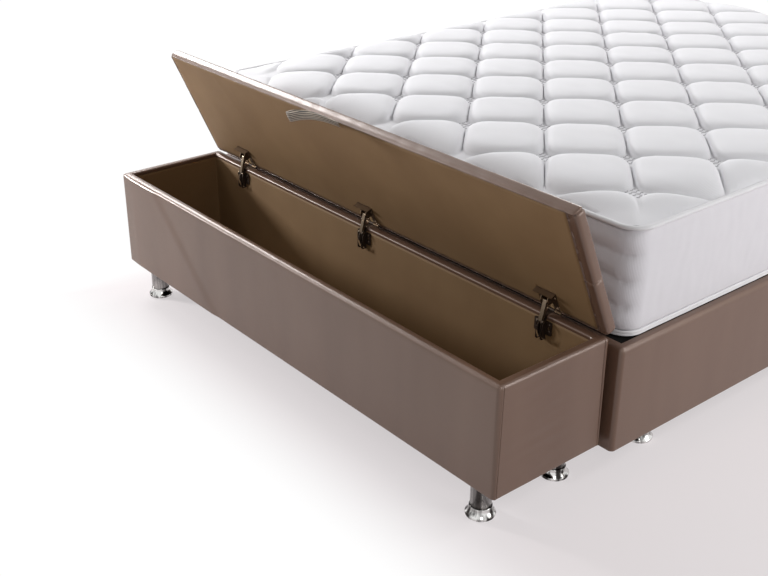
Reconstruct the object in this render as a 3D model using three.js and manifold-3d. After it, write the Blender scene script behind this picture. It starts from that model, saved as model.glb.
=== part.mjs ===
// A double bed with a storage chest at its foot: a leatherette box spring base, a quilted
// mattress, and a chest whose upholstered lid stands open on three sprung stay hinges.
// Millimetres, +Z up. X runs across the bed, Y from the foot towards the head.
import * as THREE from "three";
import { mergeVertices } from "three/addons/utils/BufferGeometryUtils.js";
import Module from "manifold-3d";

const wasm = await Module();
wasm.setup();

// Clearances and mesh steps
const fit = 0.3;
const cutOver = 2;
const cornerSteps = 4;
const mattressCornerSteps = 6;
const roundSides = 12;
const smallSides = 6;
const legSides = 16;
const skirtSteps = 3;
const tapeSides = 6;
const leastRadius = 0.5;

// Storage chest
const chestLength = 1600;
const chestDepth = 342;
const chestHeight = 282;
const chestCornerRadius = 9;
const boardThick = 18;
const backBoardThick = 23;
const coverThick = 3.5;
const coverEdgeRadius = 7;
const rollThick = 2.9;
const rollDepth = 11;
const turnUnder = 24;
const underThick = 2;
const battenSize = 20;
const cornerBlockLength = 120;
const cornerBlockWidth = 84;
const floorThick = 12;
const liningThick = 2;

// Legs
const legHeight = 105;
const legDiameter = 50;
const legPlateSize = 72;
const legPlateThick = 2.5;
const skirtDiameter = 71;
const skirtHeight = 26;
const skirtWall = 1.4;
const skirtRim = 3;
const skirtLift = 1;
const glideThick = 3;
const glideInset = 3.5;
const legFromEnd = 85;
const legFromFace = 50;

// Lid
const lidDepth = 362;
const lidThick = 30;
const lidOpenDegrees = 65.84;
const lidGap = 0.5;
const lidBackInset = 2;
const lidBoardThick = 16;
const lidUnderThick = 3;
const lidCornerRadius = 12;
const lidEdgeRadius = 9;
const lidLiningThick = 2;
const lidSideBorder = 30;
const lidFrontBorder = 6;
const lidBackBorder = 8;

// Stay hinges
const hingeFromLeft = 186;
const hingeFromRight = 170;
const hingeMiddleShift = -28;
const pivotRise = 1.5;
const pivotInset = 3.5;
const knuckleDiameter = 7;
const knuckleGap = 0.5;
const hingePinDiameter = 3.6;
const runningGap = 0.2;
const tongueWidth = 16;
const tongueThick = 2;
const flangeWidth = 54;
const flangeThick = 2;
const flangeTopDrop = 14;
const flangeHeight = 35;
const flangeCornerRadius = 4;
const channelDepth = 18;
const channelWall = 1.5;
const channelTopDrop = 11.4;
const channelHeight = 50.6;
const channelSlope = 5;
const lidPlateWidth = 58;
const lidPlateLength = 64;
const lidPlateThick = 1.5;
const lidPlateLip = 17.6;
const earThick = 1.5;
const earGap = 1.6;
const earLength = 24;
const earDrop = 15;
const earFromBack = 31;
const stayPivotFromBack = 40;
const stayPivotDrop = 8;
const stayPinDiameter = 5;
const stayCollarDiameter = 7;
const stayLength = 50;
const stayWidth = 10.4;
const stayDepth = 8;
const stayWall = 1.4;
const stayTiltOpen = -14.4;
const stayTiltClosed = 4.6;
const slidePinDiameter = 4.4;
const slideHeadDiameter = 8;
const slideHeadThick = 1.5;
const slotClearance = 0.35;
const slotSteps = 8;
const screwHeadDiameter = 8;
const screwHeadThick = 1.8;
const screwCrownShare = 0.6;
const screwFromEdge = 7.5;
const screwPitch = 17;
const screwFromTop = 9;
const lidScrewPitch = 34;
const lidScrewFromBack = 14;
const flangeSlotLength = 8;
const flangeSlotWidth = 5;

// Pull loop
const loopShift = 10;
const loopLength = 90;
const loopForward = 60;
const loopSideways = 52;
const loopSpread = 34;
const loopTip = 12;
const loopThick = 2.2;
const loopWidth = 16;
const loopWidening = 12;
const loopSteps = 5;
const loopFromFront = 1.5;

// Box spring base
const baseWidth = 1650;
const baseLength = 2055;
const baseLegHeight = 88;
const baseHeight = 272;
const baseGap = 16;
const baseCornerRadius = 12;
const baseEdgeRadius = 16;
const baseBorder = 22;
const baseClothDrop = 2;
const railThick = 25;
const railHeight = 243;
const centreBeamThick = 60;
const centreBeamHeight = 22;
const slatCount = 11;
const slatWidth = 70;
const slatThick = 20;
const springUnitMargin = 14;
const springPad = 10;
const springWall = 30;
const springCellsAcross = 3;
const springCellsAlong = 4;
const baseLegFromSide = 85;
const baseLegFromFoot = 215;
const baseLegFromHead = 150;
const linkInset = 320;
const linkRise = 110;
const linkWidth = 80;
const linkHeight = 60;

// Mattress
const mattressWidth = 1612;
const mattressLength = 2012;
const mattressSetBack = 32;
const mattressHeight = 270;
const mattressCornerRadius = 56;
const tapeDiameter = 11;
const borderThick = 12;
const borderBulge = 5;
const channelCount = 4;
const channelBulge = 6;
const channelPointsEach = 3;
const panelThick = 8;
const crownHeight = 11;
const crownReach = 150;
const puffHeight = 22;
const quiltSide = 207;
const quiltShiftAlongShare = 0.281;
const quiltShiftAcrossShare = 0.055;
const quiltStepsEach = 3;
const puffSharpnessShare = 0.55;
const comfortFoamThick = 45;

// Heights and places that follow from the sizes
const chestBottom = legHeight;
const chestTop = legHeight + chestHeight;
const boardOut = coverThick + fit;
const boardIn = boardOut + boardThick;
const backBoardIn = boardOut + backBoardThick;
const wallIn = boardIn + fit + rollThick;
const backWallIn = backBoardIn + fit + rollThick;
const boardTop = chestTop - coverThick - fit;
const boardBottom = chestBottom + underThick + fit;
const battenTop = boardBottom + battenSize;
const floorBottom = battenTop + fit;
const floorTop = floorBottom + floorThick;
const rollBottom = chestTop - rollDepth;
const backFace = chestDepth - backBoardIn - fit - liningThick;

const baseFront = chestDepth + baseGap;
const baseBack = baseFront + baseLength;
const baseBottom = baseLegHeight;
const baseTop = baseBottom + baseHeight;
const mattressFront = baseFront + mattressSetBack;
const mattressBack = mattressFront + mattressLength;
const mattressBottom = baseTop + fit;
const totalLength = baseBack;
const lowTapeZ = mattressBottom + tapeDiameter / 2;
const highTapeZ = mattressBottom + mattressHeight - tapeDiameter / 2;
const tapeHalfHeight = (tapeDiameter / 2) * Math.cos(Math.PI / tapeSides);

const pivotY = chestDepth - pivotInset;
const pivotZ = chestTop + pivotRise;
const lidUnder = chestTop + lidGap;
const lidBack = chestDepth - lidBackInset;
const lidFront = lidBack - lidDepth;
const lidTop = lidUnder + lidThick;
const lidBoardBottom = lidUnder + lidUnderThick + fit;
const lidBoardTop = lidBoardBottom + lidBoardThick;
const lidCoverTopIn = lidTop - coverThick;

const hingeCentres = {
  left: -chestLength / 2 + hingeFromLeft,
  middle: hingeMiddleShift,
  right: chestLength / 2 - hingeFromRight,
};

// Colours
const finish = (name, color, roughness, metalness) =>
  new THREE.MeshStandardMaterial({ name, color, roughness, metalness });
const leatherette = finish("leatherette", 0x76645c, 0.42, 0);
const liningCloth = finish("lining_cloth", 0x82704f, 0.95, 0);
const blackCloth = finish("black_cloth", 0x14120f, 0.95, 0);
const chipboard = finish("chipboard", 0xb59466, 0.8, 0);
const pine = finish("pine", 0xc9a26b, 0.75, 0);
const plywood = finish("plywood", 0xb98d5a, 0.75, 0);
const foam = finish("foam", 0xe8e2cf, 0.95, 0);
const springSteel = finish("spring_steel", 0x9a9c9e, 0.4, 1);
const chrome = finish("chrome", 0xdadcde, 0.08, 1);
const darkSteel = finish("dark_steel", 0x2a2624, 0.45, 0.9);
const zincSteel = finish("zinc_steel", 0xaaa294, 0.32, 1);
const ribbon = finish("ribbon", 0x8f8170, 0.6, 0);
const mattressKnit = finish("mattress_knit", 0xebebed, 0.92, 0);
const mattressSide = finish("mattress_side", 0xcdcbcf, 0.92, 0);
const tapeWhite = finish("tape_white", 0xf2f2f4, 0.85, 0);

const bed = new THREE.Group();
bed.position.y = -totalLength / 2;
const chest = new THREE.Group();
const base = new THREE.Group();
const mattress = new THREE.Group();
const lid = new THREE.Group();
bed.add(chest, base, mattress, lid);

// Solids and booleans

function toSolid(geometry) {
  let plain = geometry.index ? geometry.toNonIndexed() : geometry.clone();
  plain.deleteAttribute("normal");
  plain.deleteAttribute("uv");
  plain = mergeVertices(plain, 1e-4);
  return new wasm.Manifold(
    new wasm.Mesh({
      numProp: 3,
      vertProperties: new Float32Array(plain.attributes.position.array),
      triVerts: new Uint32Array(plain.index.array),
    }),
  );
}

function toGeometry(solid) {
  const { vertProperties, triVerts } = solid.getMesh();
  const geometry = new THREE.BufferGeometry();
  geometry.setAttribute("position", new THREE.BufferAttribute(vertProperties, 3));
  geometry.setIndex(new THREE.BufferAttribute(triVerts, 1));
  return geometry;
}

const asSolid = (piece) => (piece.isBufferGeometry ? toSolid(piece) : piece);
const join = (...pieces) => pieces.map(asSolid).reduce((a, b) => a.add(b));
const common = (a, b) => asSolid(a).intersect(asSolid(b));
const cut = (piece, ...cutters) => cutters.map(asSolid).reduce((a, b) => a.subtract(b), asSolid(piece));

function addPiece(group, name, piece, material) {
  const geometry = piece.isBufferGeometry ? piece : toGeometry(piece);
  const shaded = geometry.index ? geometry.toNonIndexed() : geometry;
  shaded.computeVertexNormals();
  const mesh = new THREE.Mesh(shaded, material);
  mesh.name = name;
  group.add(mesh);
  return mesh;
}

// Profiles

function outline(points) {
  return new THREE.Shape(points.map(([a, b]) => new THREE.Vector2(a, b)));
}

// Points along an arc round a centre, both ends included.
function arcAbout(a, b, radius, from, to, steps) {
  return Array.from({ length: steps + 1 }, (_, i) => {
    const angle = from + ((to - from) * i) / steps;
    return [a + radius * Math.cos(angle), b + radius * Math.sin(angle)];
  });
}

function roundedOutline(a0, a1, b0, b1, radius, steps = cornerSteps) {
  const quarter = Math.PI / 2;
  return outline([
    ...arcAbout(a1 - radius, b0 + radius, radius, -quarter, 0, steps),
    ...arcAbout(a1 - radius, b1 - radius, radius, 0, quarter, steps),
    ...arcAbout(a0 + radius, b1 - radius, radius, quarter, Math.PI, steps),
    ...arcAbout(a0 + radius, b0 + radius, radius, Math.PI, Math.PI + quarter, steps),
  ]);
}

const extrude = (shape, depth) => new THREE.ExtrudeGeometry(shape, { depth, bevelEnabled: false });

// The shape's own axes become Y and Z, and it is drawn out along X.
function extrudeX(shape, x0, x1) {
  const axes = new THREE.Matrix4().makeBasis(
    new THREE.Vector3(0, 1, 0),
    new THREE.Vector3(0, 0, 1),
    new THREE.Vector3(1, 0, 0),
  );
  return extrude(shape, x1 - x0).applyMatrix4(axes).translate(x0, 0, 0);
}

// The shape's own axes become X and Z, and it is drawn out along Y.
function extrudeY(shape, y0, y1) {
  return extrude(shape, y1 - y0).rotateX(Math.PI / 2).translate(0, y1, 0);
}

function extrudeZ(shape, z0, z1) {
  return extrude(shape, z1 - z0).translate(0, 0, z0);
}

function block(x0, x1, y0, y1, z0, z1) {
  return new THREE.BoxGeometry(x1 - x0, y1 - y0, z1 - z0).translate(
    (x0 + x1) / 2,
    (y0 + y1) / 2,
    (z0 + z1) / 2,
  );
}

function rodX(radius, x0, x1, y, z, sides) {
  return new THREE.CylinderGeometry(radius, radius, x1 - x0, sides ?? smallSides)
    .rotateZ(Math.PI / 2)
    .translate((x0 + x1) / 2, y, z);
}

function rodZ(radius, z0, z1, x, y, sides) {
  return new THREE.CylinderGeometry(radius, radius, z1 - z0, sides ?? smallSides)
    .rotateX(Math.PI / 2)
    .translate(x, y, (z0 + z1) / 2);
}

// The facings round a rectangle's four rounded corners, and which corner each belongs to.
function ringFacings(steps) {
  const facings = [];
  for (let corner = 0; corner < 4; corner++) {
    for (let step = 0; step <= steps; step++) {
      const angle = ((corner + step / steps) * Math.PI) / 2;
      facings.push({ corner, nx: Math.cos(angle), ny: Math.sin(angle) });
    }
  }
  return facings;
}

// Sweeps a closed profile round a rectangle. A profile point is [inset, height], and may go on with
// the insets on the back and front sides; a function gives a profile for each facing.
function sweepRound(rect, profile, steps = cornerSteps) {
  const ring = ringFacings(steps);
  const profileAt = typeof profile === "function" ? profile : () => profile;
  const rows = ring.map(({ corner, nx, ny }) =>
    profileAt(nx, ny).map(([inset, z, backInset = inset, frontInset = inset]) => {
      const radius = Math.max(rect.radius - inset, leastRadius);
      const right = corner === 0 || corner === 3;
      const back = corner < 2;
      const cx = right ? rect.x1 - inset - radius : rect.x0 + inset + radius;
      const cy = back ? rect.y1 - backInset - radius : rect.y0 + frontInset + radius;
      return [cx + radius * nx, cy + radius * ny, z];
    }),
  );
  return closedGrid(rows);
}

// Faces over a grid of points that closes on itself along both directions, turned outwards.
function closedGrid(rows) {
  const across = rows[0].length;
  const positions = rows.flat(2);
  const index = [];
  for (let i = 0; i < rows.length; i++) {
    const next = (i + 1) % rows.length;
    for (let j = 0; j < across; j++) {
      const beside = (j + 1) % across;
      const a = i * across + j;
      const b = next * across + j;
      const c = next * across + beside;
      const d = i * across + beside;
      index.push(a, b, c, a, c, d);
    }
  }
  return turnedOut(positions, index);
}

function turnedOut(positions, index) {
  let volume = 0;
  const at = (i) => new THREE.Vector3().fromArray(positions, i * 3);
  for (let t = 0; t < index.length; t += 3) {
    volume += at(index[t]).dot(at(index[t + 1]).cross(at(index[t + 2])));
  }
  if (volume < 0) index.reverse();
  const geometry = new THREE.BufferGeometry();
  geometry.setAttribute("position", new THREE.Float32BufferAttribute(positions, 3));
  geometry.setIndex(index);
  return geometry;
}

const sheet = (rect, z0, z1, steps) =>
  extrudeZ(roundedOutline(rect.x0, rect.x1, rect.y0, rect.y1, rect.radius, steps), z0, z1);

function insetRect(rect, inset, backInset = inset) {
  return {
    x0: rect.x0 + inset,
    x1: rect.x1 - inset,
    y0: rect.y0 + inset,
    y1: rect.y1 - backInset,
    radius: Math.max(rect.radius - inset, leastRadius),
  };
}

const chestRect = {
  x0: -chestLength / 2,
  x1: chestLength / 2,
  y0: 0,
  y1: chestDepth,
  radius: chestCornerRadius,
};
const baseRect = {
  x0: -baseWidth / 2,
  x1: baseWidth / 2,
  y0: baseFront,
  y1: baseBack,
  radius: baseCornerRadius,
};
const mattressRect = {
  x0: -mattressWidth / 2,
  x1: mattressWidth / 2,
  y0: mattressFront,
  y1: mattressBack,
  radius: mattressCornerRadius,
};
const lidRect = {
  x0: -chestLength / 2,
  x1: chestLength / 2,
  y0: lidFront,
  y1: lidBack,
  radius: lidCornerRadius,
};

// Screws of the hinges: each head is one piece with the bracket that it holds
const screwSides = [-1, 1];
const wallScrewZ = [0, 1].map((row) => chestTop - flangeTopDrop - screwFromTop - row * screwPitch);
const lidScrewY = [0, 1].map((row) => lidBack - lidScrewFromBack - row * lidScrewPitch);

function screwHead() {
  const radius = screwHeadDiameter / 2;
  const points = [
    [0, -screwHeadThick],
    [radius, -screwHeadThick],
    [radius, 0],
    [radius * screwCrownShare, screwHeadThick],
    [0, screwHeadThick],
  ];
  return new THREE.LatheGeometry(
    points.map(([r, h]) => new THREE.Vector2(r, h)),
    smallSides,
  );
}

// Recess over the hinge pin, in the roll of the wall and in the back edge of the lid
const knuckleReach = knuckleDiameter / 2 + knuckleGap;
const knuckleHalf = lidPlateWidth / 2 + knuckleGap;
const hingeList = Object.entries(hingeCentres);
const knuckleRecess = hingeList.map(([, centre]) =>
  block(
    centre - knuckleHalf,
    centre + knuckleHalf,
    pivotY - knuckleReach,
    chestDepth + cutOver,
    pivotZ - knuckleReach,
    pivotZ + knuckleReach,
  ),
);

// Chest

function buildChestCover() {
  const profile = [
    [turnUnder, chestBottom],
    [0, chestBottom],
    ...arcAbout(
      coverEdgeRadius,
      chestTop - coverEdgeRadius,
      coverEdgeRadius,
      Math.PI,
      Math.PI / 2,
      cornerSteps,
    ),
    [wallIn - rollThick, chestTop, backWallIn - rollThick],
    [wallIn, chestTop - rollThick, backWallIn],
    [wallIn, rollBottom, backWallIn],
    [wallIn - rollThick, rollBottom, backWallIn - rollThick],
    [wallIn - rollThick, chestTop - coverThick, backWallIn - rollThick],
    [coverThick, chestTop - coverThick],
    [coverThick, chestBottom + underThick],
    [turnUnder, chestBottom + underThick],
  ];
  const tongueHalf = tongueWidth / 2 + knuckleGap;
  const tongueRecess = hingeList.map(([, centre]) =>
    block(
      centre - tongueHalf,
      centre + tongueHalf,
      chestDepth - backWallIn - cutOver,
      pivotY,
      rollBottom - cutOver,
      chestTop + cutOver,
    ),
  );
  return cut(sweepRound(chestRect, profile), ...knuckleRecess, ...tongueRecess);
}

// The four boards stand inside the cover, and their outer corners follow its rounding.
function buildBoards() {
  const space = sheet(insetRect(chestRect, boardOut), boardBottom, boardTop);
  const within = (x0, x1, y0, y1) => common(space, block(x0, x1, y0, y1, boardBottom, boardTop));
  const out = chestLength / 2 - boardOut;
  const innerFront = boardIn + fit;
  const innerBack = chestDepth - backBoardIn - fit;
  const backBoard = within(-out, out, chestDepth - backBoardIn, chestDepth - boardOut);
  addPiece(chest, "chest_front_board", within(-out, out, boardOut, boardIn), chipboard);
  addPiece(chest, "chest_back_board", cut(backBoard, ...knuckleRecess), chipboard);
  addPiece(chest, "chest_left_board", within(-out, boardThick - out, innerFront, innerBack), chipboard);
  addPiece(chest, "chest_right_board", within(out - boardThick, out, innerFront, innerBack), chipboard);
}

// The floor rests on a frame of battens, whose corners are widened to take the legs.
function buildFloorFrame() {
  const inside = insetRect(chestRect, boardIn + fit, backBoardIn + fit);
  const outer = sheet(inside, boardBottom, battenTop);
  const x = inside.x1;
  const wideX = x - cornerBlockLength;
  const y0 = inside.y0 + battenSize;
  const y1 = inside.y1 - battenSize;
  const wideY0 = inside.y0 + cornerBlockWidth;
  const wideY1 = inside.y1 - cornerBlockWidth;
  const opening = outline([
    [-wideX, y0],
    [wideX, y0],
    [wideX + battenSize, wideY0],
    [x - battenSize, wideY0],
    [x - battenSize, wideY1],
    [wideX + battenSize, wideY1],
    [wideX, y1],
    [-wideX, y1],
    [-wideX - battenSize, wideY1],
    [-x + battenSize, wideY1],
    [-x + battenSize, wideY0],
    [-wideX - battenSize, wideY0],
  ]);
  return cut(outer, extrudeZ(opening, boardBottom - cutOver, battenTop + cutOver));
}

function buildWallLining() {
  const rect = insetRect(chestRect, boardIn + fit, backBoardIn + fit);
  const top = rollBottom - fit;
  const profile = [
    [0, floorTop + fit],
    [0, top],
    [liningThick, top],
    [liningThick, floorTop + fit],
  ];
  return sweepRound(rect, profile);
}

function buildChest() {
  addPiece(chest, "chest_cover", buildChestCover(), leatherette);
  buildBoards();
  addPiece(chest, "chest_floor_frame", buildFloorFrame(), pine);
  const inside = insetRect(chestRect, boardIn + fit, backBoardIn + fit);
  addPiece(chest, "chest_floor_board", sheet(inside, floorBottom, floorTop), plywood);
  const lined = insetRect(inside, liningThick + fit);
  const liningBottom = floorTop + fit;
  addPiece(chest, "chest_wall_lining", buildWallLining(), liningCloth);
  addPiece(chest, "chest_floor_lining", sheet(lined, liningBottom, liningBottom + liningThick), liningCloth);
  const under = insetRect(chestRect, turnUnder + fit);
  addPiece(chest, "chest_bottom_cloth", sheet(under, chestBottom, chestBottom + underThick), blackCloth);
}

// Legs: a chromed tube on a flared foot, with a pressed plate on top and a glide below

function legTube(height) {
  const radius = legDiameter / 2;
  const top = height - fit;
  const half = legPlateSize / 2;
  return join(
    rodZ(radius, glideThick / 2, top - legPlateThick / 2, 0, 0, legSides),
    rodZ(radius - glideInset, 0, glideThick, 0, 0, legSides),
    block(-half, half, -half, half, top - legPlateThick, top),
  );
}

function legSkirt(collar) {
  const rim = skirtDiameter / 2;
  const neckZ = skirtLift + skirtHeight;
  const flare = rim - collar - skirtWall;
  const outer = Array.from({ length: skirtSteps + 1 }, (_, i) => {
    const share = i / skirtSteps;
    const radius = collar + skirtWall + flare * (1 - Math.sin((share * Math.PI) / 2));
    return [radius, skirtRim + (neckZ - skirtRim) * share];
  });
  const inner = outer.map(([r, z]) => [r - skirtWall, z]).reverse();
  const points = [[rim, skirtLift], ...outer, ...inner, [rim - skirtWall, skirtLift]];
  points.push(points[0]);
  const profile = points.map(([r, z]) => new THREE.Vector2(r, z));
  return new THREE.LatheGeometry(profile, legSides).rotateX(Math.PI / 2);
}

const atSpot = (piece, spot) => toGeometry(asSolid(piece)).translate(spot.x, spot.y, 0);

const chestLegX = chestLength / 2 - legFromEnd;
const chestLegs = {
  front_left: { x: -chestLegX, y: legFromFace },
  front_right: { x: chestLegX, y: legFromFace },
  back_left: { x: -chestLegX, y: chestDepth - legFromFace },
  back_right: { x: chestLegX, y: chestDepth - legFromFace },
};
const baseLegX = baseWidth / 2 - baseLegFromSide;
const baseLegRows = { foot: baseLegFromFoot, middle: baseLength / 2, head: baseLength - baseLegFromHead };

// The four legs of the chest show, so their skirts are pieces of their own.
function buildLegs() {
  for (const [place, spot] of Object.entries(chestLegs)) {
    addPiece(chest, `chest_leg_${place}`, atSpot(legTube(legHeight), spot), chrome);
    addPiece(chest, `chest_leg_skirt_${place}`, atSpot(legSkirt(legDiameter / 2 + fit), spot), chrome);
  }
  const whole = join(legTube(baseLegHeight), legSkirt(legDiameter / 2 - skirtWall / 2));
  for (const [row, along] of Object.entries(baseLegRows)) {
    const y = baseFront + along;
    addPiece(base, `base_leg_${row}_left`, atSpot(whole, { x: -baseLegX, y }), chrome);
    addPiece(base, `base_leg_${row}_right`, atSpot(whole, { x: baseLegX, y }), chrome);
  }
}

// Stay hinges

const degrees = (value) => (value * Math.PI) / 180;
const closeAngle = degrees(lidOpenDegrees);
const stayPivotClosed = { y: lidBack - stayPivotFromBack, z: lidUnder - stayPivotDrop };

// Where a point of the closed lid stands when the lid is turned up by an angle.
function onLid(point, opened) {
  const dy = point.y - pivotY;
  const dz = point.z - pivotZ;
  const c = Math.cos(opened);
  const s = Math.sin(opened);
  return { y: pivotY + dy * c + dz * s, z: pivotZ - dy * s + dz * c };
}

// The stay's own tilt changes evenly with the lid's angle, and its lower pin follows from both.
const stayTilt = (opened) =>
  degrees(stayTiltClosed) + (degrees(stayTiltOpen - stayTiltClosed) * opened) / closeAngle;

function slidePinAt(opened) {
  const top = onLid(stayPivotClosed, opened);
  const tilt = stayTilt(opened);
  return { y: top.y + stayLength * Math.sin(tilt), z: top.z - stayLength * Math.cos(tilt) };
}

function pinSlot(centre) {
  const radius = slidePinDiameter / 2 + slotClearance;
  const path = Array.from({ length: slotSteps + 1 }, (_, i) => slidePinAt((closeAngle * i) / slotSteps));
  const left = [];
  const right = [];
  path.forEach((p, i) => {
    const before = path[Math.max(i - 1, 0)];
    const after = path[Math.min(i + 1, slotSteps)];
    const length = Math.hypot(after.y - before.y, after.z - before.z);
    const ny = (-(after.z - before.z) / length) * radius;
    const nz = ((after.y - before.y) / length) * radius;
    left.push([p.y + ny, p.z + nz]);
    right.unshift([p.y - ny, p.z - nz]);
  });
  const half = tongueWidth / 2 + cutOver;
  const band = extrudeX(outline([...left, ...right]), centre - half, centre + half);
  const ends = [path[0], path[slotSteps]].map((p) =>
    rodX(radius, centre - half, centre + half, p.y, p.z, roundSides),
  );
  return join(band, ...ends);
}

const flangeBack = backFace - fit;
const flangeFront = flangeBack - flangeThick;
const flangeTop = chestTop - flangeTopDrop;
const flangeBottom = flangeTop - flangeHeight;
const channelTop = chestTop - channelTopDrop;
const channelBottom = channelTop - channelHeight;
const tongueBottom = boardTop + fit;

function wallBracket(centre) {
  const half = tongueWidth / 2;
  const out = flangeWidth / 2;
  const flangeShape = roundedOutline(centre - out, centre + out, flangeBottom, flangeTop, flangeCornerRadius);
  const slotX = half + (out - half) / 2;
  const slotZ = (wallScrewZ[0] + wallScrewZ[1]) / 2;
  const flangeSlots = screwSides.map((side) =>
    block(
      centre + side * slotX - flangeSlotWidth / 2,
      centre + side * slotX + flangeSlotWidth / 2,
      flangeFront - cutOver,
      flangeBack + cutOver,
      slotZ - flangeSlotLength / 2,
      slotZ + flangeSlotLength / 2,
    ),
  );
  const web = block(centre - half, centre + half, flangeFront, flangeBack, channelBottom, flangeTop);
  const flange = join(cut(extrudeY(flangeShape, flangeFront, flangeBack), ...flangeSlots), web);
  const heads = screwSides.flatMap((side) =>
    wallScrewZ.map((z) =>
      screwHead()
        .rotateX(Math.PI)
        .translate(centre + side * (out - screwFromEdge), flangeFront, z),
    ),
  );
  const tongue = extrudeX(
    outline([
      [flangeFront, flangeBottom],
      [flangeBack, flangeBottom],
      [flangeBack, tongueBottom],
      [pivotY, tongueBottom],
      [pivotY, tongueBottom + tongueThick],
      [flangeFront, tongueBottom + tongueThick],
    ]),
    centre - half,
    centre + half,
  );
  const front = flangeBack - channelDepth;
  const sideWall = outline([
    [flangeFront + flangeThick / 2, channelBottom],
    [flangeFront + flangeThick / 2, channelTop],
    [front + channelSlope, channelTop],
    [front, channelTop - channelSlope],
    [front, channelBottom + channelSlope],
    [front + channelSlope, channelBottom],
  ]);
  const hollow = block(
    centre - half + channelWall,
    centre + half - channelWall,
    front - cutOver,
    flangeFront,
    channelBottom - cutOver,
    channelTop + cutOver,
  );
  const channel = cut(extrudeX(sideWall, centre - half, centre + half), hollow, pinSlot(centre));
  const barrel = rodX(knuckleDiameter / 2, centre - half, centre + half, pivotY, pivotZ, roundSides);
  const bore = rodX(
    hingePinDiameter / 2 + runningGap,
    centre - half - cutOver,
    centre + half + cutOver,
    pivotY,
    pivotZ,
    roundSides,
  );
  return cut(join(flange, tongue, channel, barrel, ...heads), bore);
}

const lidPlateTop = lidBoardBottom - fit;
const lidPlateBottom = lidPlateTop - lidPlateThick;
const lidPlateFront = lidBack - lidPlateLength;

function lidBracket(centre) {
  const slot = tongueWidth / 2 + earGap;
  const out = lidPlateWidth / 2;
  const earFront = lidBack - earFromBack - earLength;
  const earBack = lidBack - earFromBack;
  const pieces = [];
  for (const side of screwSides) {
    const inner = centre + side * slot;
    const outer = centre + side * out;
    const x0 = Math.min(inner, outer);
    const x1 = Math.max(inner, outer);
    pieces.push(block(x0, x1, lidPlateFront, pivotY, lidPlateBottom, lidPlateTop));
    pieces.push(rodX(knuckleDiameter / 2, x0, x1, pivotY, pivotZ, roundSides));
    const earX0 = side > 0 ? inner : inner - earThick;
    const ear = outline([
      [earBack, lidPlateTop - lidPlateThick / 2],
      [earFront, lidPlateTop - lidPlateThick / 2],
      [earFront + lidPlateThick, lidUnder - earDrop / 2],
      [stayPivotClosed.y - stayPinDiameter, lidUnder - earDrop],
      [stayPivotClosed.y + stayPinDiameter, lidUnder - earDrop],
      [earBack, lidUnder - earDrop / 2],
    ]);
    pieces.push(extrudeX(ear, earX0, earX0 + earThick));
  }
  const bridge = block(
    centre - slot - cutOver,
    centre + slot + cutOver,
    lidPlateFront,
    lidPlateFront + lidPlateLength - earFromBack - earLength + lidPlateThick,
    lidPlateBottom,
    lidPlateTop,
  );
  const lip = block(
    centre - out,
    centre + out,
    lidPlateFront - lidPlateThick,
    lidPlateFront,
    lidPlateTop - lidPlateLip,
    lidPlateTop,
  );
  const bore = rodX(
    hingePinDiameter / 2 + runningGap,
    centre - out - cutOver,
    centre + out + cutOver,
    pivotY,
    pivotZ,
    roundSides,
  );
  const heads = screwSides.flatMap((side) =>
    lidScrewY.map((y) =>
      screwHead()
        .rotateX(-Math.PI / 2)
        .translate(centre + side * (out - screwFromEdge), y, lidPlateBottom),
    ),
  );
  return join(cut(join(...pieces, bridge, lip, ...heads), bore), stayPin(centre));
}

// The stay is a pressed channel with an eye at each end, drawn at its tilt on the closed lid.
function stayArm(centre) {
  const half = stayWidth / 2;
  const top = { y: 0, z: 0 };
  const low = { y: 0, z: -stayLength };
  const radius = stayDepth / 2;
  const cheek = outline([
    ...arcAbout(top.y, top.z, radius, 0, Math.PI, cornerSteps * 2),
    ...arcAbout(low.y, low.z, radius, Math.PI, Math.PI * 2, cornerSteps * 2),
  ]);
  const bar = extrudeX(cheek, -half, half);
  const hollow = block(
    -half + stayWall,
    half - stayWall,
    -radius + stayWall,
    radius + cutOver,
    low.z - radius - cutOver,
    top.z + radius + cutOver,
  );
  const eye = rodX(
    stayPinDiameter / 2 + runningGap,
    -half - cutOver,
    half + cutOver,
    top.y,
    top.z,
    roundSides,
  );
  return toGeometry(join(cut(bar, hollow, eye), slidePin())).translate(centre, 0, 0);
}

function slidePin() {
  const half = tongueWidth / 2 + fit;
  const headOut = half + slideHeadThick;
  const pin = rodX(slidePinDiameter / 2, -headOut, headOut, 0, -stayLength, roundSides);
  const heads = screwSides.map((side) => {
    const x0 = side < 0 ? -headOut : half;
    return rodX(slideHeadDiameter / 2, x0, x0 + slideHeadThick, 0, -stayLength, roundSides);
  });
  return join(pin, ...heads);
}

// The pin riveted between the ears, with a collar that fills the gap on each side of the stay.
function stayPin(centre) {
  const earOut = tongueWidth / 2 + earGap + earThick;
  const stayHalf = stayWidth / 2 + runningGap;
  const { y, z } = stayPivotClosed;
  const pinHalf = earOut + slideHeadThick;
  const shank = rodX(stayPinDiameter / 2, centre - pinHalf, centre + pinHalf, y, z, roundSides);
  const collars = screwSides.flatMap((side) => {
    const inside = [stayHalf, tongueWidth / 2 + earGap + earThick / 2];
    const outside = [earOut - earThick / 2, pinHalf];
    return [inside, outside].map(([a, b]) => {
      const ends = [centre + side * a, centre + side * b];
      return rodX(stayCollarDiameter / 2, Math.min(...ends), Math.max(...ends), y, z, roundSides);
    });
  });
  return join(shank, ...collars);
}

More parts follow.
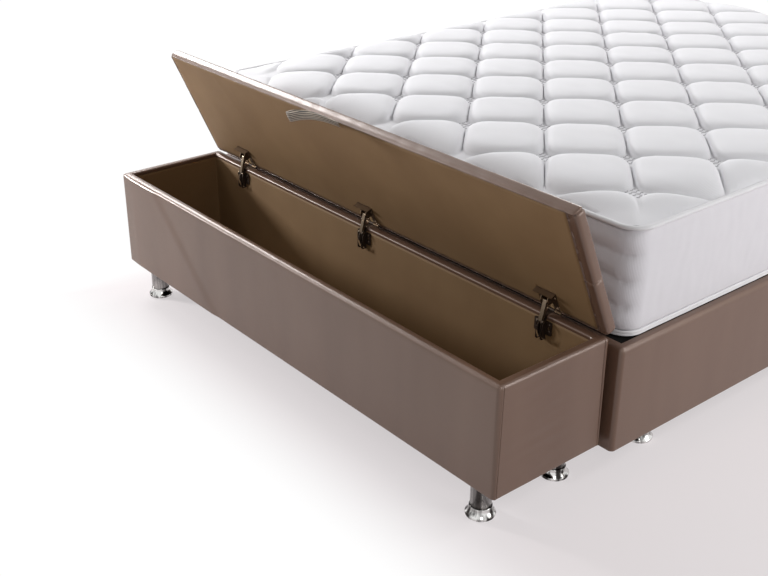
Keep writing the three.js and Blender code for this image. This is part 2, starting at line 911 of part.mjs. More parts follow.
function buildHinges() {
  for (const [side, centre] of hingeList) {
    addPiece(chest, `wall_bracket_${side}`, wallBracket(centre), darkSteel);
    addPiece(lid, `lid_bracket_${side}`, lidBracket(centre), darkSteel);
    const pinHalf = lidPlateWidth / 2;
    const pin = rodX(hingePinDiameter / 2, centre - pinHalf, centre + pinHalf, pivotY, pivotZ, roundSides);
    addPiece(chest, `hinge_pin_${side}`, pin, zincSteel);
    const stay = new THREE.Group();
    const open = onLid(stayPivotClosed, closeAngle);
    stay.position.set(0, open.y, open.z);
    stay.rotation.x = stayTilt(closeAngle);
    bed.add(stay);
    addPiece(stay, `stay_arm_${side}`, stayArm(centre), zincSteel);
  }
}

// Lid, drawn closed on the chest and then turned up about the hinge pins

function buildLidCover() {
  const profile = [
    [lidSideBorder, lidUnder, lidBackBorder, lidFrontBorder],
    [coverThick, lidUnder],
    [0, lidUnder + coverThick],
    ...arcAbout(lidEdgeRadius, lidTop - lidEdgeRadius, lidEdgeRadius, Math.PI, Math.PI / 2, cornerSteps),
    [lidSideBorder, lidTop],
    [lidSideBorder, lidCoverTopIn],
    [coverThick, lidCoverTopIn],
    [coverThick, lidBoardBottom - fit],
    [lidSideBorder, lidBoardBottom - fit, lidBackBorder, lidFrontBorder],
  ];
  const wrap = sweepRound(lidRect, profile);
  const top = sheet(insetRect(lidRect, lidSideBorder - coverThick), lidCoverTopIn, lidTop);
  return cut(join(wrap, top), ...lidPlateRecess(), ...knuckleRecess);
}

function lidPlateRecess() {
  const half = lidPlateWidth / 2 + fit;
  return hingeList.map(([, centre]) =>
    block(
      centre - half,
      centre + half,
      lidPlateFront - lidPlateThick - fit,
      lidBack - coverThick,
      lidUnder - cutOver,
      lidBoardBottom - fit / 2,
    ),
  );
}

// A ribbon sewn under the front edge: it stands forward, then falls away to one side.
function buildPullLoop() {
  const top = lidUnder - fit;
  const back = lidFront + loopFromFront + loopWidth;
  const leg = Array.from({ length: loopSteps + 1 }, (_, i) => i / loopSteps);
  const strip = [...leg.map((share) => [-1, share]), ...leg.toReversed().map((share) => [1, share])];
  const rows = strip.map(([side, share]) => {
    const half = (loopSpread + (loopTip - loopSpread) * share) / 2;
    const x = loopShift - loopSideways * share + side * half;
    const y = back - loopForward * (1 - (1 - share) ** 2);
    const z = top - loopThick - (loopLength - loopThick) * share;
    const width = loopWidth + loopWidening * share;
    const inward = share > 0 ? side * loopThick : 0;
    const lift = share > 0 ? 0 : loopThick;
    return [
      [x, y, z],
      [x, y - width, z],
      [x - inward, y - width, z + lift + (share === 1 ? loopThick : 0)],
      [x - inward, y, z + lift + (share === 1 ? loopThick : 0)],
    ];
  });
  return closedGrid(rows);
}

function buildLid() {
  addPiece(lid, "lid_cover", buildLidCover(), leatherette);
  const boardRect = insetRect(lidRect, coverThick + fit);
  const board = sheet(boardRect, lidBoardBottom, lidBoardTop);
  addPiece(lid, "lid_board", cut(board, ...knuckleRecess), chipboard);
  const padding = sheet(boardRect, lidBoardTop + fit, lidCoverTopIn - fit);
  addPiece(lid, "lid_foam", padding, foam);
  const lining = {
    x0: lidRect.x0 + lidSideBorder + fit,
    x1: lidRect.x1 - lidSideBorder - fit,
    y0: lidFront + lidFrontBorder + fit,
    y1: lidBack - lidBackBorder - fit,
    radius: leastRadius,
  };
  const liningSheet = sheet(lining, lidBoardBottom - fit - lidLiningThick, lidBoardBottom - fit);
  addPiece(lid, "lid_lining", cut(liningSheet, ...lidPlateRecess()), liningCloth);
  addPiece(lid, "pull_loop", buildPullLoop(), ribbon);
}

function openLid() {
  const turned = new THREE.Group();
  turned.position.set(0, pivotY, pivotZ);
  turned.rotation.x = -closeAngle;
  bed.add(turned);
  turned.add(lid);
  lid.position.set(0, -pivotY, -pivotZ);
}

// Box spring base

function buildBaseCover() {
  const profile = [
    [turnUnder, baseBottom],
    [0, baseBottom],
    ...arcAbout(
      baseEdgeRadius,
      baseTop - baseEdgeRadius,
      baseEdgeRadius,
      Math.PI,
      Math.PI / 2,
      cornerSteps,
    ),
    [baseBorder, baseTop],
    [baseBorder, baseTop - coverThick],
    ...arcAbout(
      baseEdgeRadius,
      baseTop - baseEdgeRadius,
      baseEdgeRadius - coverThick,
      Math.PI / 2,
      Math.PI,
      cornerSteps,
    ),
    [coverThick, baseBottom + underThick],
    [turnUnder, baseBottom + underThick],
  ];
  return sweepRound(baseRect, profile);
}

function buildBaseFrame() {
  const out = insetRect(baseRect, coverThick + fit);
  const z0 = baseBottom + underThick + fit;
  const z1 = z0 + railHeight;
  const space = sheet(out, z0, z1);
  const leftRail = block(out.x0, out.x0 + railThick, out.y0, out.y1, z0, z1);
  const rightRail = block(out.x1 - railThick, out.x1, out.y0, out.y1, z0, z1);
  addPiece(base, "base_left_rail", common(leftRail, space), pine);
  addPiece(base, "base_right_rail", common(rightRail, space), pine);
  const x0 = out.x0 + railThick + fit;
  addPiece(base, "base_foot_rail", block(x0, -x0, out.y0, out.y0 + railThick, z0, z1), pine);
  addPiece(base, "base_head_rail", block(x0, -x0, out.y1 - railThick, out.y1, z0, z1), pine);
  const inner0 = out.y0 + railThick + fit;
  const inner1 = out.y1 - railThick - fit;
  const beamTop = z0 + centreBeamHeight;
  const beam = block(-centreBeamThick / 2, centreBeamThick / 2, inner0, inner1, z0, beamTop);
  const pitch = (inner1 - inner0 - slatWidth) / (slatCount - 1);
  const slats = Array.from({ length: slatCount }, (_, i) => {
    const y = inner0 + i * pitch;
    return block(x0, -x0, y, y + slatWidth, beamTop - slatThick / 4, beamTop + slatThick);
  });
  addPiece(base, "base_slat_frame", join(beam, ...slats), pine);
  return { x0, inner0, inner1, railTop: z1, slatTop: beamTop + slatThick };
}

// A spring unit: a pad over open cells, whose walls stand in for the rows of coils.
function springUnit(rect, z0, z1, steps) {
  const cellX = (rect.x1 - rect.x0 - springWall) / springCellsAcross;
  const cellY = (rect.y1 - rect.y0 - springWall) / springCellsAlong;
  const cells = [];
  for (let i = 0; i < springCellsAcross; i++) {
    for (let j = 0; j < springCellsAlong; j++) {
      const x = rect.x0 + springWall + i * cellX;
      const y = rect.y0 + springWall + j * cellY;
      cells.push(block(x, x + cellX - springWall, y, y + cellY - springWall, z0 - cutOver, z1 - springPad));
    }
  }
  return cut(sheet(rect, z0, z1, steps), ...cells);
}

// One slab of foam lies on the springs and wraps over the rails, with a rounded edge.
function buildBaseFoam(bottom, top) {
  const edge = insetRect(baseRect, coverThick + fit);
  const radius = baseEdgeRadius - coverThick - fit;
  const profile = [
    [0, bottom],
    ...arcAbout(radius, top - radius, radius, Math.PI, Math.PI / 2, cornerSteps),
    [railThick, top],
    [railThick, bottom],
  ];
  return join(sweepRound(edge, profile), sheet(insetRect(edge, railThick / 2 + radius / 2), bottom, top));
}

function buildBase() {
  addPiece(base, "base_cover", buildBaseCover(), leatherette);
  const frame = buildBaseFrame();
  const clothTop = baseTop - baseClothDrop;
  const foamTop = clothTop - underThick - fit;
  const inner = {
    x0: frame.x0 + springUnitMargin,
    x1: -frame.x0 - springUnitMargin,
    y0: frame.inner0 + springUnitMargin,
    y1: frame.inner1 - springUnitMargin,
    radius: springUnitMargin,
  };
  addPiece(base, "base_spring_unit", springUnit(inner, frame.slatTop + fit, frame.railTop), springSteel);
  addPiece(base, "base_top_foam", buildBaseFoam(frame.railTop + fit, foamTop), foam);
  const cloth = insetRect(baseRect, baseBorder + fit);
  addPiece(base, "base_top_cloth", sheet(cloth, clothTop - underThick, clothTop), blackCloth);
  const under = insetRect(baseRect, turnUnder + fit);
  addPiece(base, "base_bottom_cloth", sheet(under, baseBottom, baseBottom + underThick), blackCloth);
}

// Two spacer blocks hold the chest to the foot rail of the base.
function buildLinks() {
  const z0 = chestBottom + linkRise;
  const y0 = chestDepth + fit;
  const y1 = baseFront - fit;
  for (const [name, side] of [
    ["left", -1],
    ["right", 1],
  ]) {
    const x = side * (chestLength / 2 - linkInset);
    const spacer = block(x - linkWidth / 2, x + linkWidth / 2, y0, y1, z0, z0 + linkHeight);
    addPiece(chest, `chest_link_block_${name}`, spacer, pine);
  }
}

// Mattress

function buildMattressBorder() {
  const z0 = lowTapeZ + tapeHalfHeight + fit;
  const z1 = highTapeZ - tapeHalfHeight - fit;
  const rows = channelCount * channelPointsEach;
  return sweepRound(
    mattressRect,
    (nx, ny) => {
      const facingFoot = Math.max(-ny, 0) ** 4;
      const outer = Array.from({ length: rows + 1 }, (_, i) => {
        const share = i / rows;
        const belly = borderBulge * Math.sin(Math.PI * share);
        const channel = channelBulge * Math.abs(Math.sin(Math.PI * share * channelCount));
        return [channelBulge - facingFoot * channel - (1 - facingFoot) * belly, z0 + (z1 - z0) * share];
      });
      return [...outer, [borderThick, z1], [borderThick, z0]];
    },
    mattressCornerSteps,
  );
}

function buildTape(z) {
  const radius = tapeDiameter / 2;
  const profile = Array.from({ length: tapeSides }, (_, i) => {
    const angle = (i / tapeSides) * Math.PI * 2;
    return [radius + radius * Math.cos(angle), z + radius * Math.sin(angle)];
  });
  return sweepRound(mattressRect, profile, mattressCornerSteps);
}

// Height of the quilted top above its lower face: the crown, and a puff in each diagonal square.
function quiltHeight(x, y) {
  const u = (x + y) / Math.SQRT2 / quiltSide - quiltShiftAlongShare;
  const v = (x - y) / Math.SQRT2 / quiltSide - quiltShiftAcrossShare;
  const toEdge = Math.min(
    x - mattressRect.x0,
    mattressRect.x1 - x,
    y - mattressRect.y0,
    mattressRect.y1 - y,
  );
  const reach = Math.min(Math.max(toEdge, 0) / crownReach, 1);
  const rise = Math.sin((reach * Math.PI) / 2);
  const puff = Math.abs(Math.sin(Math.PI * u) * Math.sin(Math.PI * v)) ** puffSharpnessShare;
  return panelThick + crownHeight * rise + puffHeight * puff * rise;
}

function buildTopPanel() {
  const z0 = highTapeZ - panelThick;
  const half = (mattressLength + mattressWidth) / 2;
  const step = quiltSide / quiltStepsEach;
  const count = Math.ceil((half * Math.SQRT2) / step / 2) * 2;
  const midY = (mattressFront + mattressBack) / 2;
  const nearest = (place, share) => (Math.round(place / quiltSide - share) + share) * quiltSide;
  const midU = nearest(midY / Math.SQRT2, quiltShiftAlongShare);
  const midV = nearest(-midY / Math.SQRT2, quiltShiftAcrossShare);
  const top = [];
  for (let i = 0; i <= count; i++) {
    for (let j = 0; j <= count; j++) {
      const u = midU + (i - count / 2) * step;
      const v = midV + (j - count / 2) * step;
      const x = (u + v) / Math.SQRT2;
      const y = (u - v) / Math.SQRT2;
      top.push(x, y, z0 + quiltHeight(x, y));
    }
  }
  const field = heightField(top, count + 1, z0);
  const rect = insetRect(mattressRect, borderThick + fit);
  const prism = sheet(rect, z0, z0 + mattressHeight, mattressCornerSteps);
  return common(field, prism);
}

// A closed solid under a square grid of points, down to a flat foot at one height.
function heightField(top, side, footZ) {
  const grid = side * side;
  const rim = [];
  for (let j = 0; j < side - 1; j++) rim.push(j);
  for (let i = 0; i < side - 1; i++) rim.push(i * side + side - 1);
  for (let j = side - 1; j > 0; j--) rim.push((side - 1) * side + j);
  for (let i = side - 1; i > 0; i--) rim.push(i * side);
  const foot = rim.flatMap((a) => [top[a * 3], top[a * 3 + 1], footZ]);
  const middle = [0, 1].map((axis) => (top[axis] + top[(grid - 1) * 3 + axis]) / 2);
  const positions = [...top, ...foot, ...middle, footZ];
  const hub = grid + rim.length;
  const index = [];
  for (let i = 0; i < side - 1; i++) {
    for (let j = 0; j < side - 1; j++) {
      const a = i * side + j;
      const b = a + side;
      index.push(a, b, b + 1, a, b + 1, a + 1);
    }
  }
  rim.forEach((a, i) => {
    const next = (i + 1) % rim.length;
    index.push(a, rim[next], grid + next, a, grid + next, grid + i);
    index.push(hub, grid + i, grid + next);
  });
  return turnedOut(positions, index);
}

function buildMattress() {
  addPiece(mattress, "mattress_border", buildMattressBorder(), mattressSide);
  addPiece(mattress, "mattress_top_panel", buildTopPanel(), mattressKnit);
  const core = insetRect(mattressRect, borderThick + fit);
  const panel = insetRect(mattressRect, tapeDiameter + fit);
  addPiece(
    mattress,
    "mattress_bottom_panel",
    sheet(panel, mattressBottom, lowTapeZ - fit, mattressCornerSteps),
    mattressSide,
  );
  const foamTop = highTapeZ - panelThick - fit;
  const foamBottom = foamTop - comfortFoamThick;
  addPiece(
    mattress,
    "mattress_pocket_springs",
    springUnit(core, lowTapeZ, foamBottom - fit, mattressCornerSteps),
    springSteel,
  );
  addPiece(mattress, "mattress_comfort_foam", sheet(core, foamBottom, foamTop, mattressCornerSteps), foam);
  addPiece(mattress, "mattress_bottom_tape", buildTape(lowTapeZ), tapeWhite);
  addPiece(mattress, "mattress_top_tape", buildTape(highTapeZ), tapeWhite);
}

buildChest();
buildLegs();
buildHinges();
buildLid();
openLid();
buildBase();
buildLinks();
buildMattress();

export default bed;
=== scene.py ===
import math

import bmesh
import bpy
import numpy as np
from mathutils import Matrix, Vector, noise


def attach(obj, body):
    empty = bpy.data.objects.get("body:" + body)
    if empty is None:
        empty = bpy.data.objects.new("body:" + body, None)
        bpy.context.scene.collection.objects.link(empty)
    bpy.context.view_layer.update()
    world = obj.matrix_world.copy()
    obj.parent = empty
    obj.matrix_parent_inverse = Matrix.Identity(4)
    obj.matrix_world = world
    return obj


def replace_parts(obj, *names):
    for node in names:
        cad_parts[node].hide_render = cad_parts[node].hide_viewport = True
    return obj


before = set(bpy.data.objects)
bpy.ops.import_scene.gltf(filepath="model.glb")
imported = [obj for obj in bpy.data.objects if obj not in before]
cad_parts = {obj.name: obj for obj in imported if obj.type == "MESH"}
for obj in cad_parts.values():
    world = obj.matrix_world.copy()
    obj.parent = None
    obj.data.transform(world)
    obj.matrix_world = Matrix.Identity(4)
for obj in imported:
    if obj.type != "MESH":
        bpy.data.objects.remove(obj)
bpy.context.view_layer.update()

MM = 0.001
ROW_Y = -1206.5

# Sizes shared with the solids, in mm; a rectangle is its x from and to, then its y from and to

HALF_WIDTH = 800
CHEST_DEPTH = 342
CHEST = (-HALF_WIDTH, HALF_WIDTH, 0, CHEST_DEPTH)
CHEST_R = 9
CHEST_BOTTOM = 105
CHEST_TOP = 387
WALL_IN = 25
BACK_IN = 30
COVER = 3.5
TURNED_IN = 24
LID_FRONT = -22
LID_BACK = 340
LID = (-HALF_WIDTH, HALF_WIDTH, LID_FRONT, LID_BACK)
LID_R = 12
LID_UNDER = 387.5
LID_TOP = 417.5
LID_SIDE = 30
LID_SEAM = 196
PIVOT = (338.5, 388.5)
OPENED = math.radians(65.84)
HINGES = (-614, -28, 630)
# Half width, y from and to, z from and to of what the hinges take out of the covers
RECESSES = {
    "knuckle": (29.5, 334.5, 345, 384.5, 392.5),
    "tongue": (8.5, 310, 338.5, 374, 390),
    "plate": (29.3, 274.2, 336.5, 385, 390.6),
}
CHEST_LEG_X = 715
CHEST_LEG_Y = {"front": 50, "back": 292}
BASE_HALF_WIDTH = 825
BASE = (-BASE_HALF_WIDTH, BASE_HALF_WIDTH, 358, 2413)
BASE_R = 12
BASE_BOTTOM = 88
BASE_TOP = 360
BASE_BORDER = 22
BASE_LEG_X = 740
BASE_LEG_Y = {"foot": 573, "middle": 1385.5, "head": 2263}
LEG_R = 25
MATTRESS = (-806, 806, 390, 2402)
MATTRESS_R = 56
TAPE_R = 5.5
LOW_BAND = 374.4
HIGH_TAPE = 624.8
PANEL_FOOT = 616.9

# Quilting: rows and columns across the top's diagonals, in metres, and how they lean and bend

ROW_START, ROW_RATE, ROW_BEND, ROW_LEAN = 3.827, 4.827, 0.549, 0.082
COLUMN_START, COLUMN_RATE, COLUMN_BEND, COLUMN_LEAN = 0.84, 4.833, 0.054, 0.129
BENT = 0.55
QUILT_ROWS = (-5, 10)
QUILT_COLUMNS = (-6, 9)

# Stage: where the floor's painted shade, a grey glow round the bed, turns to white, as an axis with
# two places in metres; the lamps, as name, place, target, size and watts; and the camera that the
# photograph's perspective gives

# Painted shade: the floor's glow colour near the bed
FLOOR_PAINTED_SHADE = (0.93, 0.885, 0.895, 1)
FLOOR_WHITE = (1.02, 1.02, 1.02, 1)
FLOOR_GLOWS = (("Y", -1.14, -1.50), ("X", -0.80, -0.95), ("X", 1.4, 2.4), ("Y", 1.3, 2.0))
FLOOR_SIZE = 14
WORLD_STRENGTH = 0.135
LAMPS = (
    ("key", (-2.87, -2.40, 1.16), (0, -1.0, 0.4), (0.4, 0.4), 72),
    ("left", (-3.2, -0.55, 2.5), (0, -0.6, 0.4), (1.2, 1.2), 80),
    ("back", (-1.6, 3.2, 2.6), (0.2, 0, 0.4), (1.6, 1.6), 92),
    ("rim", (2.4, 1.0, 2.6), (0.3, -0.6, 0.3), (0.9, 0.6), 26),
    ("edge", (-2.1, -2.3, 2.3), (0, -1.0, 0.4), (0.7, 0.7), 9),
    ("side", (3.4, 0.6, 1.0), (0.8, -0.8, 0.3), (1.5, 1.5), 42),
    ("front", (2.6, -2.4, 1.9), (0.8, -0.8, 0.4), (0.6, 0.6), 10),
)
CAMERA_PLACE = (2.178, -2.658, 1.587)
CAMERA_AZIMUTH, CAMERA_ELEVATION, CAMERA_ROLL = (math.radians(a) for a in (50.27, 26.13, 0.33))
CAMERA_SENSOR = 36
CAMERA_FOCUS = 1140.5 / 768


# Materials


def linear(rgb):
    """An 8-bit colour as the linear one that a shader takes."""

    def one(c):
        c /= 255
        return c / 12.92 if c <= 0.04045 else ((c + 0.055) / 1.055) ** 2.4

    return (*[one(c) for c in rgb], 1)


def material(name, rgb, roughness, metallic=0, **sockets):
    made = bpy.data.materials.new(name)
    made.use_nodes = True
    shader = made.node_tree.nodes["Principled BSDF"]
    shader.inputs["Base Color"].default_value = linear(rgb)
    shader.inputs["Roughness"].default_value = roughness
    shader.inputs["Metallic"].default_value = metallic
    for key, value in sockets.items():
        shader.inputs[key.replace("_", " ")].default_value = value
    return made


def add(tree, kind, **values):
    node = tree.nodes.new(kind)
    for key, value in values.items():
        if key in node.inputs:
            node.inputs[key].default_value = value
        else:
            setattr(node, key, value)
    return node


def noise_of(made, scale, detail=2, stretch=(1, 1, 1)):
    """Noise in the piece's own space, stretched along an axis by a small factor there."""
    tree = made.node_tree
    place = add(tree, "ShaderNodeTexCoord")
    mapping = add(tree, "ShaderNodeMapping")
    mapping.inputs["Scale"].default_value = stretch
    texture = add(tree, "ShaderNodeTexNoise", Scale=scale, Detail=detail)
    tree.links.new(place.outputs["Object"], mapping.inputs["Vector"])
    tree.links.new(mapping.outputs["Vector"], texture.inputs["Vector"])
    return texture.outputs["Fac"]


def bump(made, height, distance, strength=1, after=None):
    """Relief of a height from 0 to 1, over the relief that another bump made."""
    tree = made.node_tree
    node = add(tree, "ShaderNodeBump", Strength=strength, Distance=distance)
    tree.links.new(height, node.inputs["Height"])
    if after:
        tree.links.new(after.outputs["Normal"], node.inputs["Normal"])
    tree.links.new(node.outputs["Normal"], tree.nodes["Principled BSDF"].inputs["Normal"])
    return node


def tint(made, factor, dark, light, low=0.35, high=0.65):
    """Base colour between two 8-bit ones, where the factor goes from low to high."""
    tree = made.node_tree
    ramp = add(tree, "ShaderNodeValToRGB")
    ramp.color_ramp.elements[0].position = low
    ramp.color_ramp.elements[1].position = high
    ramp.color_ramp.elements[0].color = linear(dark)
    ramp.color_ramp.elements[1].color = linear(light)
    tree.links.new(factor, ramp.inputs["Fac"])
    tree.links.new(ramp.outputs["Color"], tree.nodes["Principled BSDF"].inputs["Base Color"])


def ribs_of(made, pitch, direction, distortion):
    """Fine parallel ribs over the piece's wrap coordinates."""
    tree = made.node_tree
    place = add(tree, "ShaderNodeUVMap", uv_map="wrap")
    wave = add(
        tree,
        "ShaderNodeTexWave",
        bands_direction=direction,
        Scale=math.pi / 10 / pitch,
        Distortion=distortion,
    )
    tree.links.new(place.outputs["UV"], wave.inputs["Vector"])
    return wave.outputs["Fac"]


def leatherette_material():
    made = material("leatherette", (106, 80, 65), 0.33, 0.12, Coat_Weight=0.2, Coat_Roughness=0.25)
    # Base colour in upright bands: partly the cover's own uneven tone, partly painted satin sheen
    tint(made, noise_of(made, 3.0, 2, (2.2, 2.2, 0.25)), (101, 75, 60), (111, 85, 70), 0.3, 0.7)
    grain = bump(made, noise_of(made, 700, 3), 0.0005, 0.3)
    bump(made, noise_of(made, 16, 3), 0.003, 0.16, grain)
    return made


def lining_material():
    made = material("lining_cloth", (125, 96, 61), 0.75)
    tint(made, noise_of(made, 5, 3), (120, 91, 57), (130, 101, 66), 0.3, 0.7)
    bump(made, noise_of(made, 420, 4), 0.0004, 0.25)
    return made


def knit_material(name, rgb, pitch=0.0036):
    made = material(name, rgb, 0.9, 0, Sheen_Weight=0.15)
    fine = bump(made, ribs_of(made, pitch, "X", 0.6), 0.0006, 0.35)
    bump(made, noise_of(made, 350, 3), 0.0006, 0.2, fine)
    return made


def ribbon_material(pitch=0.2):
    """Ridges along the ribbon, with painted shade darkening the grooves between them and painted
    light on the ridges; its wrap coordinates give shares of its width.
    """
    made = material("ribbon", (152, 139, 124), 0.5, 0, Sheen_Weight=0.2)
    ridges = ribs_of(made, pitch, "Y", 0.4)
    # Painted shade in the grooves and painted light on the ridges, in the base colour
    tint(made, ridges, (34, 27, 22), (205, 192, 176), 0.25, 0.65)
    bump(made, ridges, 0.001, 0.6)
    return made


def chrome_material():
    """Polished plating; the dark and light streaks in its base colour are painted reflections,
    standing in for a cluttered room mirrored in it.
    """
    made = material("chrome", (186, 186, 184), 0.12, 1)
    # Painted reflections: dark and light streaks in the base colour
    tint(made, noise_of(made, 55, 3, (1, 1, 0.22)), (52, 49, 47), (222, 221, 219), 0.42, 0.58)
    return made


def tube_material():
    """The legs' tubes: brushed plating whose faint upright dark and light streaks in the base
    colour are painted reflections.
    """
    made = material("chrome_tube", (138, 132, 130), 0.25, 1)
    # Painted reflections: upright dark and light streaks in the base colour
    tint(made, noise_of(made, 70, 2, (1, 1, 0.04)), (96, 90, 88), (188, 184, 182), 0.4, 0.62)
    return made


def grained(name, dark, light, scale, stretch=(1, 1, 1), roughness=0.75):
    made = material(name, light, roughness)
    tint(made, noise_of(made, scale, 5, stretch), dark, light)
    return made


finishes = {
    "leatherette": leatherette_material(),
    "lining_cloth": lining_material(),
    "black_cloth": material("black_cloth", (9, 8, 7), 0.95, 0, Specular_IOR_Level=0.1),
    "chipboard": grained("chipboard", (150, 118, 80), (196, 164, 120), 220),
    "plywood": grained("plywood", (166, 122, 76), (198, 156, 106), 30, (0.1, 1, 1)),
    "pine": grained("pine", (186, 146, 96), (214, 178, 126), 24, (0.15, 1, 1)),
    "foam": grained("foam", (222, 214, 192), (238, 232, 214), 300, roughness=0.95),
    "spring_unit": grained("spring_unit", (206, 206, 206), (226, 226, 226), 160, roughness=0.9),
    "chrome": chrome_material(),
    "chrome_tube": tube_material(),
    "dark_steel": material("dark_steel", (66, 53, 44), 0.45, 0.6),
    "brown_steel": material("brown_steel", (118, 98, 78), 0.34, 0.85),
    "zinc_steel": material("zinc_steel", (134, 118, 100), 0.3, 0.9),
    "ribbon": ribbon_material(),
    "mattress_knit": knit_material("mattress_knit", (226, 225, 228)),
    "mattress_side": knit_material("mattress_side", (214, 212, 216)),
    "tape_white": material("tape_white", (226, 225, 227), 0.8),
    "thread": material("thread", (178, 175, 180), 0.7),
}

WORN_EDGE = 0.0006

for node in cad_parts.values():
    name = node.data.materials[0].name.split(".")[0]
    if name not in finishes:
        raise RuntimeError("no finish for " + name)
    node.data.materials[0] = finishes[name]
    if node.name.startswith("lid_bracket"):
        node.data.materials[0] = finishes["brown_steel"]
    if name in ("dark_steel", "zinc_steel"):
        edge = node.modifiers.new("edge", "BEVEL")
        edge.width, edge.segments, edge.limit_method = WORN_EDGE, 2, "ANGLE"


# Mesh helpers


def to_row(points):
    """Points in millimetres from the chest's front as metres in the frame of the row."""
    return (np.asarray(points, float).reshape(-1, 3) + (0, ROW_Y, 0)) * MM


def open_lid(points):
    """Points drawn on the closed lid, turned up to where it stands open."""
    p = np.array(points, float).reshape(-1, 3)
    dy, dz = p[:, 1] - PIVOT[0], p[:, 2] - PIVOT[1]
    c, s = math.cos(OPENED), math.sin(OPENED)
    p[:, 1], p[:, 2] = PIVOT[0] + dy * c + dz * s, PIVOT[1] - dy * s + dz * c
    return p


def add_object(name, data):
    obj = bpy.data.objects.new(name, data)
    bpy.context.scene.collection.objects.link(obj)
    return obj


def make(name, points, faces, finish, body, uv=None, merge=1e-6):
    """One closed mesh piece that rides a body. uv is in mm, and merge is a distance in metres."""
    mesh = bpy.data.meshes.new(name)
    mesh.from_pydata(to_row(points).tolist(), [], faces)
    if uv is not None:
        layer = mesh.uv_layers.new(name="wrap")
        corners = np.zeros(len(mesh.loops), int)
        mesh.loops.foreach_get("vertex_index", corners)
        layer.data.foreach_set("uv", (np.asarray(uv, float)[corners] * MM).ravel())
    work = bmesh.new()
    work.from_mesh(mesh)
    if merge:
        bmesh.ops.remove_doubles(work, verts=work.verts, dist=merge)
    bmesh.ops.dissolve_degenerate(work, edges=work.edges, dist=1e-7)
    bmesh.ops.recalc_face_normals(work, faces=work.faces)
    for face in work.faces:
        face.smooth = True
    work.to_mesh(mesh)
    work.free()
    mesh.materials.append(finishes[finish])
    obj = add_object(name, mesh)
    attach(obj, body)
    return obj


def rounded(points, steps=5):
    """A profile of (inset, z, back inset) with a cut at each corner, turned into smooth curves."""
    full = [(p[0], p[1], p[0] if p[2] is None else p[2], p[3]) for p in points]
    out = []
    for i, (a, z, b, cut) in enumerate(full):
        here = np.array((a, z, b), float)
        if not cut or i in (0, len(full) - 1):
            out.append(here)
            continue
        ends = []
        for other in (full[i - 1], full[i + 1]):
            way = np.array(other[:3], float) - here
            ends.append(here + way * min(cut / max(np.linalg.norm(way[:2]), 1e-9), 0.5))
        first, last = ends
        for t in np.linspace(0, 1, steps + 1):
            out.append(first * (1 - t) ** 2 + here * 2 * t * (1 - t) + last * t * t)
    return out


def filled(profile, step):
    """The profile with points added so that none lies further than step from the next."""
    out = [profile[0]]
    for p, q in zip(profile, profile[1:]):
        count = max(1, math.ceil(np.linalg.norm((q - p)[:2]) / step))
        out += [p + (q - p) * k / count for k in range(1, count + 1)]
    return out


def places_round(x_steps, y_steps, corner_steps, extra=()):
    """Places round a rectangle: (side, share) on a side, (side + 4, share) round the next corner.

    The sides are front, right, back and left. extra holds more shares for right and left."""
    out = []
    for side in range(4):
        shares = list(np.linspace(0, 1, (x_steps if side % 2 == 0 else y_steps) + 1))
        shares += list(extra) if side % 2 else []
        out += [(side, t) for t in sorted(set(round(t, 6) for t in shares))]
        out += [(side + 4, t) for t in np.linspace(0, 1, corner_steps + 1)[1:-1]]
    return out


def insets_of(p):
    """Left, right, front and back inset of a profile point.

    It holds the side's inset, z and the back's inset, and may hold the front's and the left's."""
    front, left = p[3:5] if len(p) > 3 else (p[0], p[0])
    return left, p[0], front, p[2]


def ring(rect, radius, insets, places):
    """The outline at its four insets, as points and the directions that face out of it."""
    left, right, front, back = insets
    x0, x1, y0, y1 = rect
    left_in, right_in = max(radius, left), max(radius, right)
    front_in, back_in = max(radius, front), max(radius, back)
    a, b, c, d = x0 + left_in, x1 - right_in, y0 + front_in, y1 - back_in
    corner = [
        (b, c, right_in - right, front_in - front, -90),
        (b, d, right_in - right, back_in - back, 0),
        (a, d, left_in - left, back_in - back, 90),
        (a, c, left_in - left, front_in - front, 180),
    ]
    points, facing = [], []
    for side, t in places:
        if side < 4:
            start, end, out = [
                ((a, y0 + front), (b, y0 + front), (0, -1)),
                ((x1 - right, c), (x1 - right, d), (1, 0)),
                ((b, y1 - back), (a, y1 - back), (0, 1)),
                ((x0 + left, d), (x0 + left, c), (-1, 0)),
            ][side]
            points.append((start[0] + (end[0] - start[0]) * t, start[1] + (end[1] - start[1]) * t))
            facing.append(out)
        else:
            cx, cy, rx, ry, first = corner[side - 4]
            angle = math.radians(first + 90 * t)
            points.append((cx + rx * math.cos(angle), cy + ry * math.sin(angle)))
            facing.append((math.cos(angle), math.sin(angle)))
    return np.array(points), np.array(facing)


def grid_faces(rows, columns, wrap_rows=False, wrap_columns=True):
    """Four-sided faces over a grid of points, row after row."""
    faces = []
    for i in range(rows if wrap_rows else rows - 1):
        for j in range(columns if wrap_columns else columns - 1):
            a, b = i * columns + j, i * columns + (j + 1) % columns
            c, d = (i + 1) % rows * columns + (j + 1) % columns, (i + 1) % rows * columns + j
            faces.append((a, b, c, d))
    return faces


def grid_normals(grid):
    """Unit normals of a closed loft of rings; where a ring shrinks to a point, its mean normal."""
    along = np.roll(grid, -1, 1) - np.roll(grid, 1, 1)
    across = np.gradient(grid, axis=0)
    normal = np.cross(along, across)
    length = np.linalg.norm(normal, axis=2, keepdims=True)
    normal = normal / np.maximum(length, 1e-9)
    row = normal.sum(axis=1, keepdims=True)
    row = row / np.maximum(np.linalg.norm(row, axis=2, keepdims=True), 1e-9)
    return np.where(length < 1e-6, row, normal)


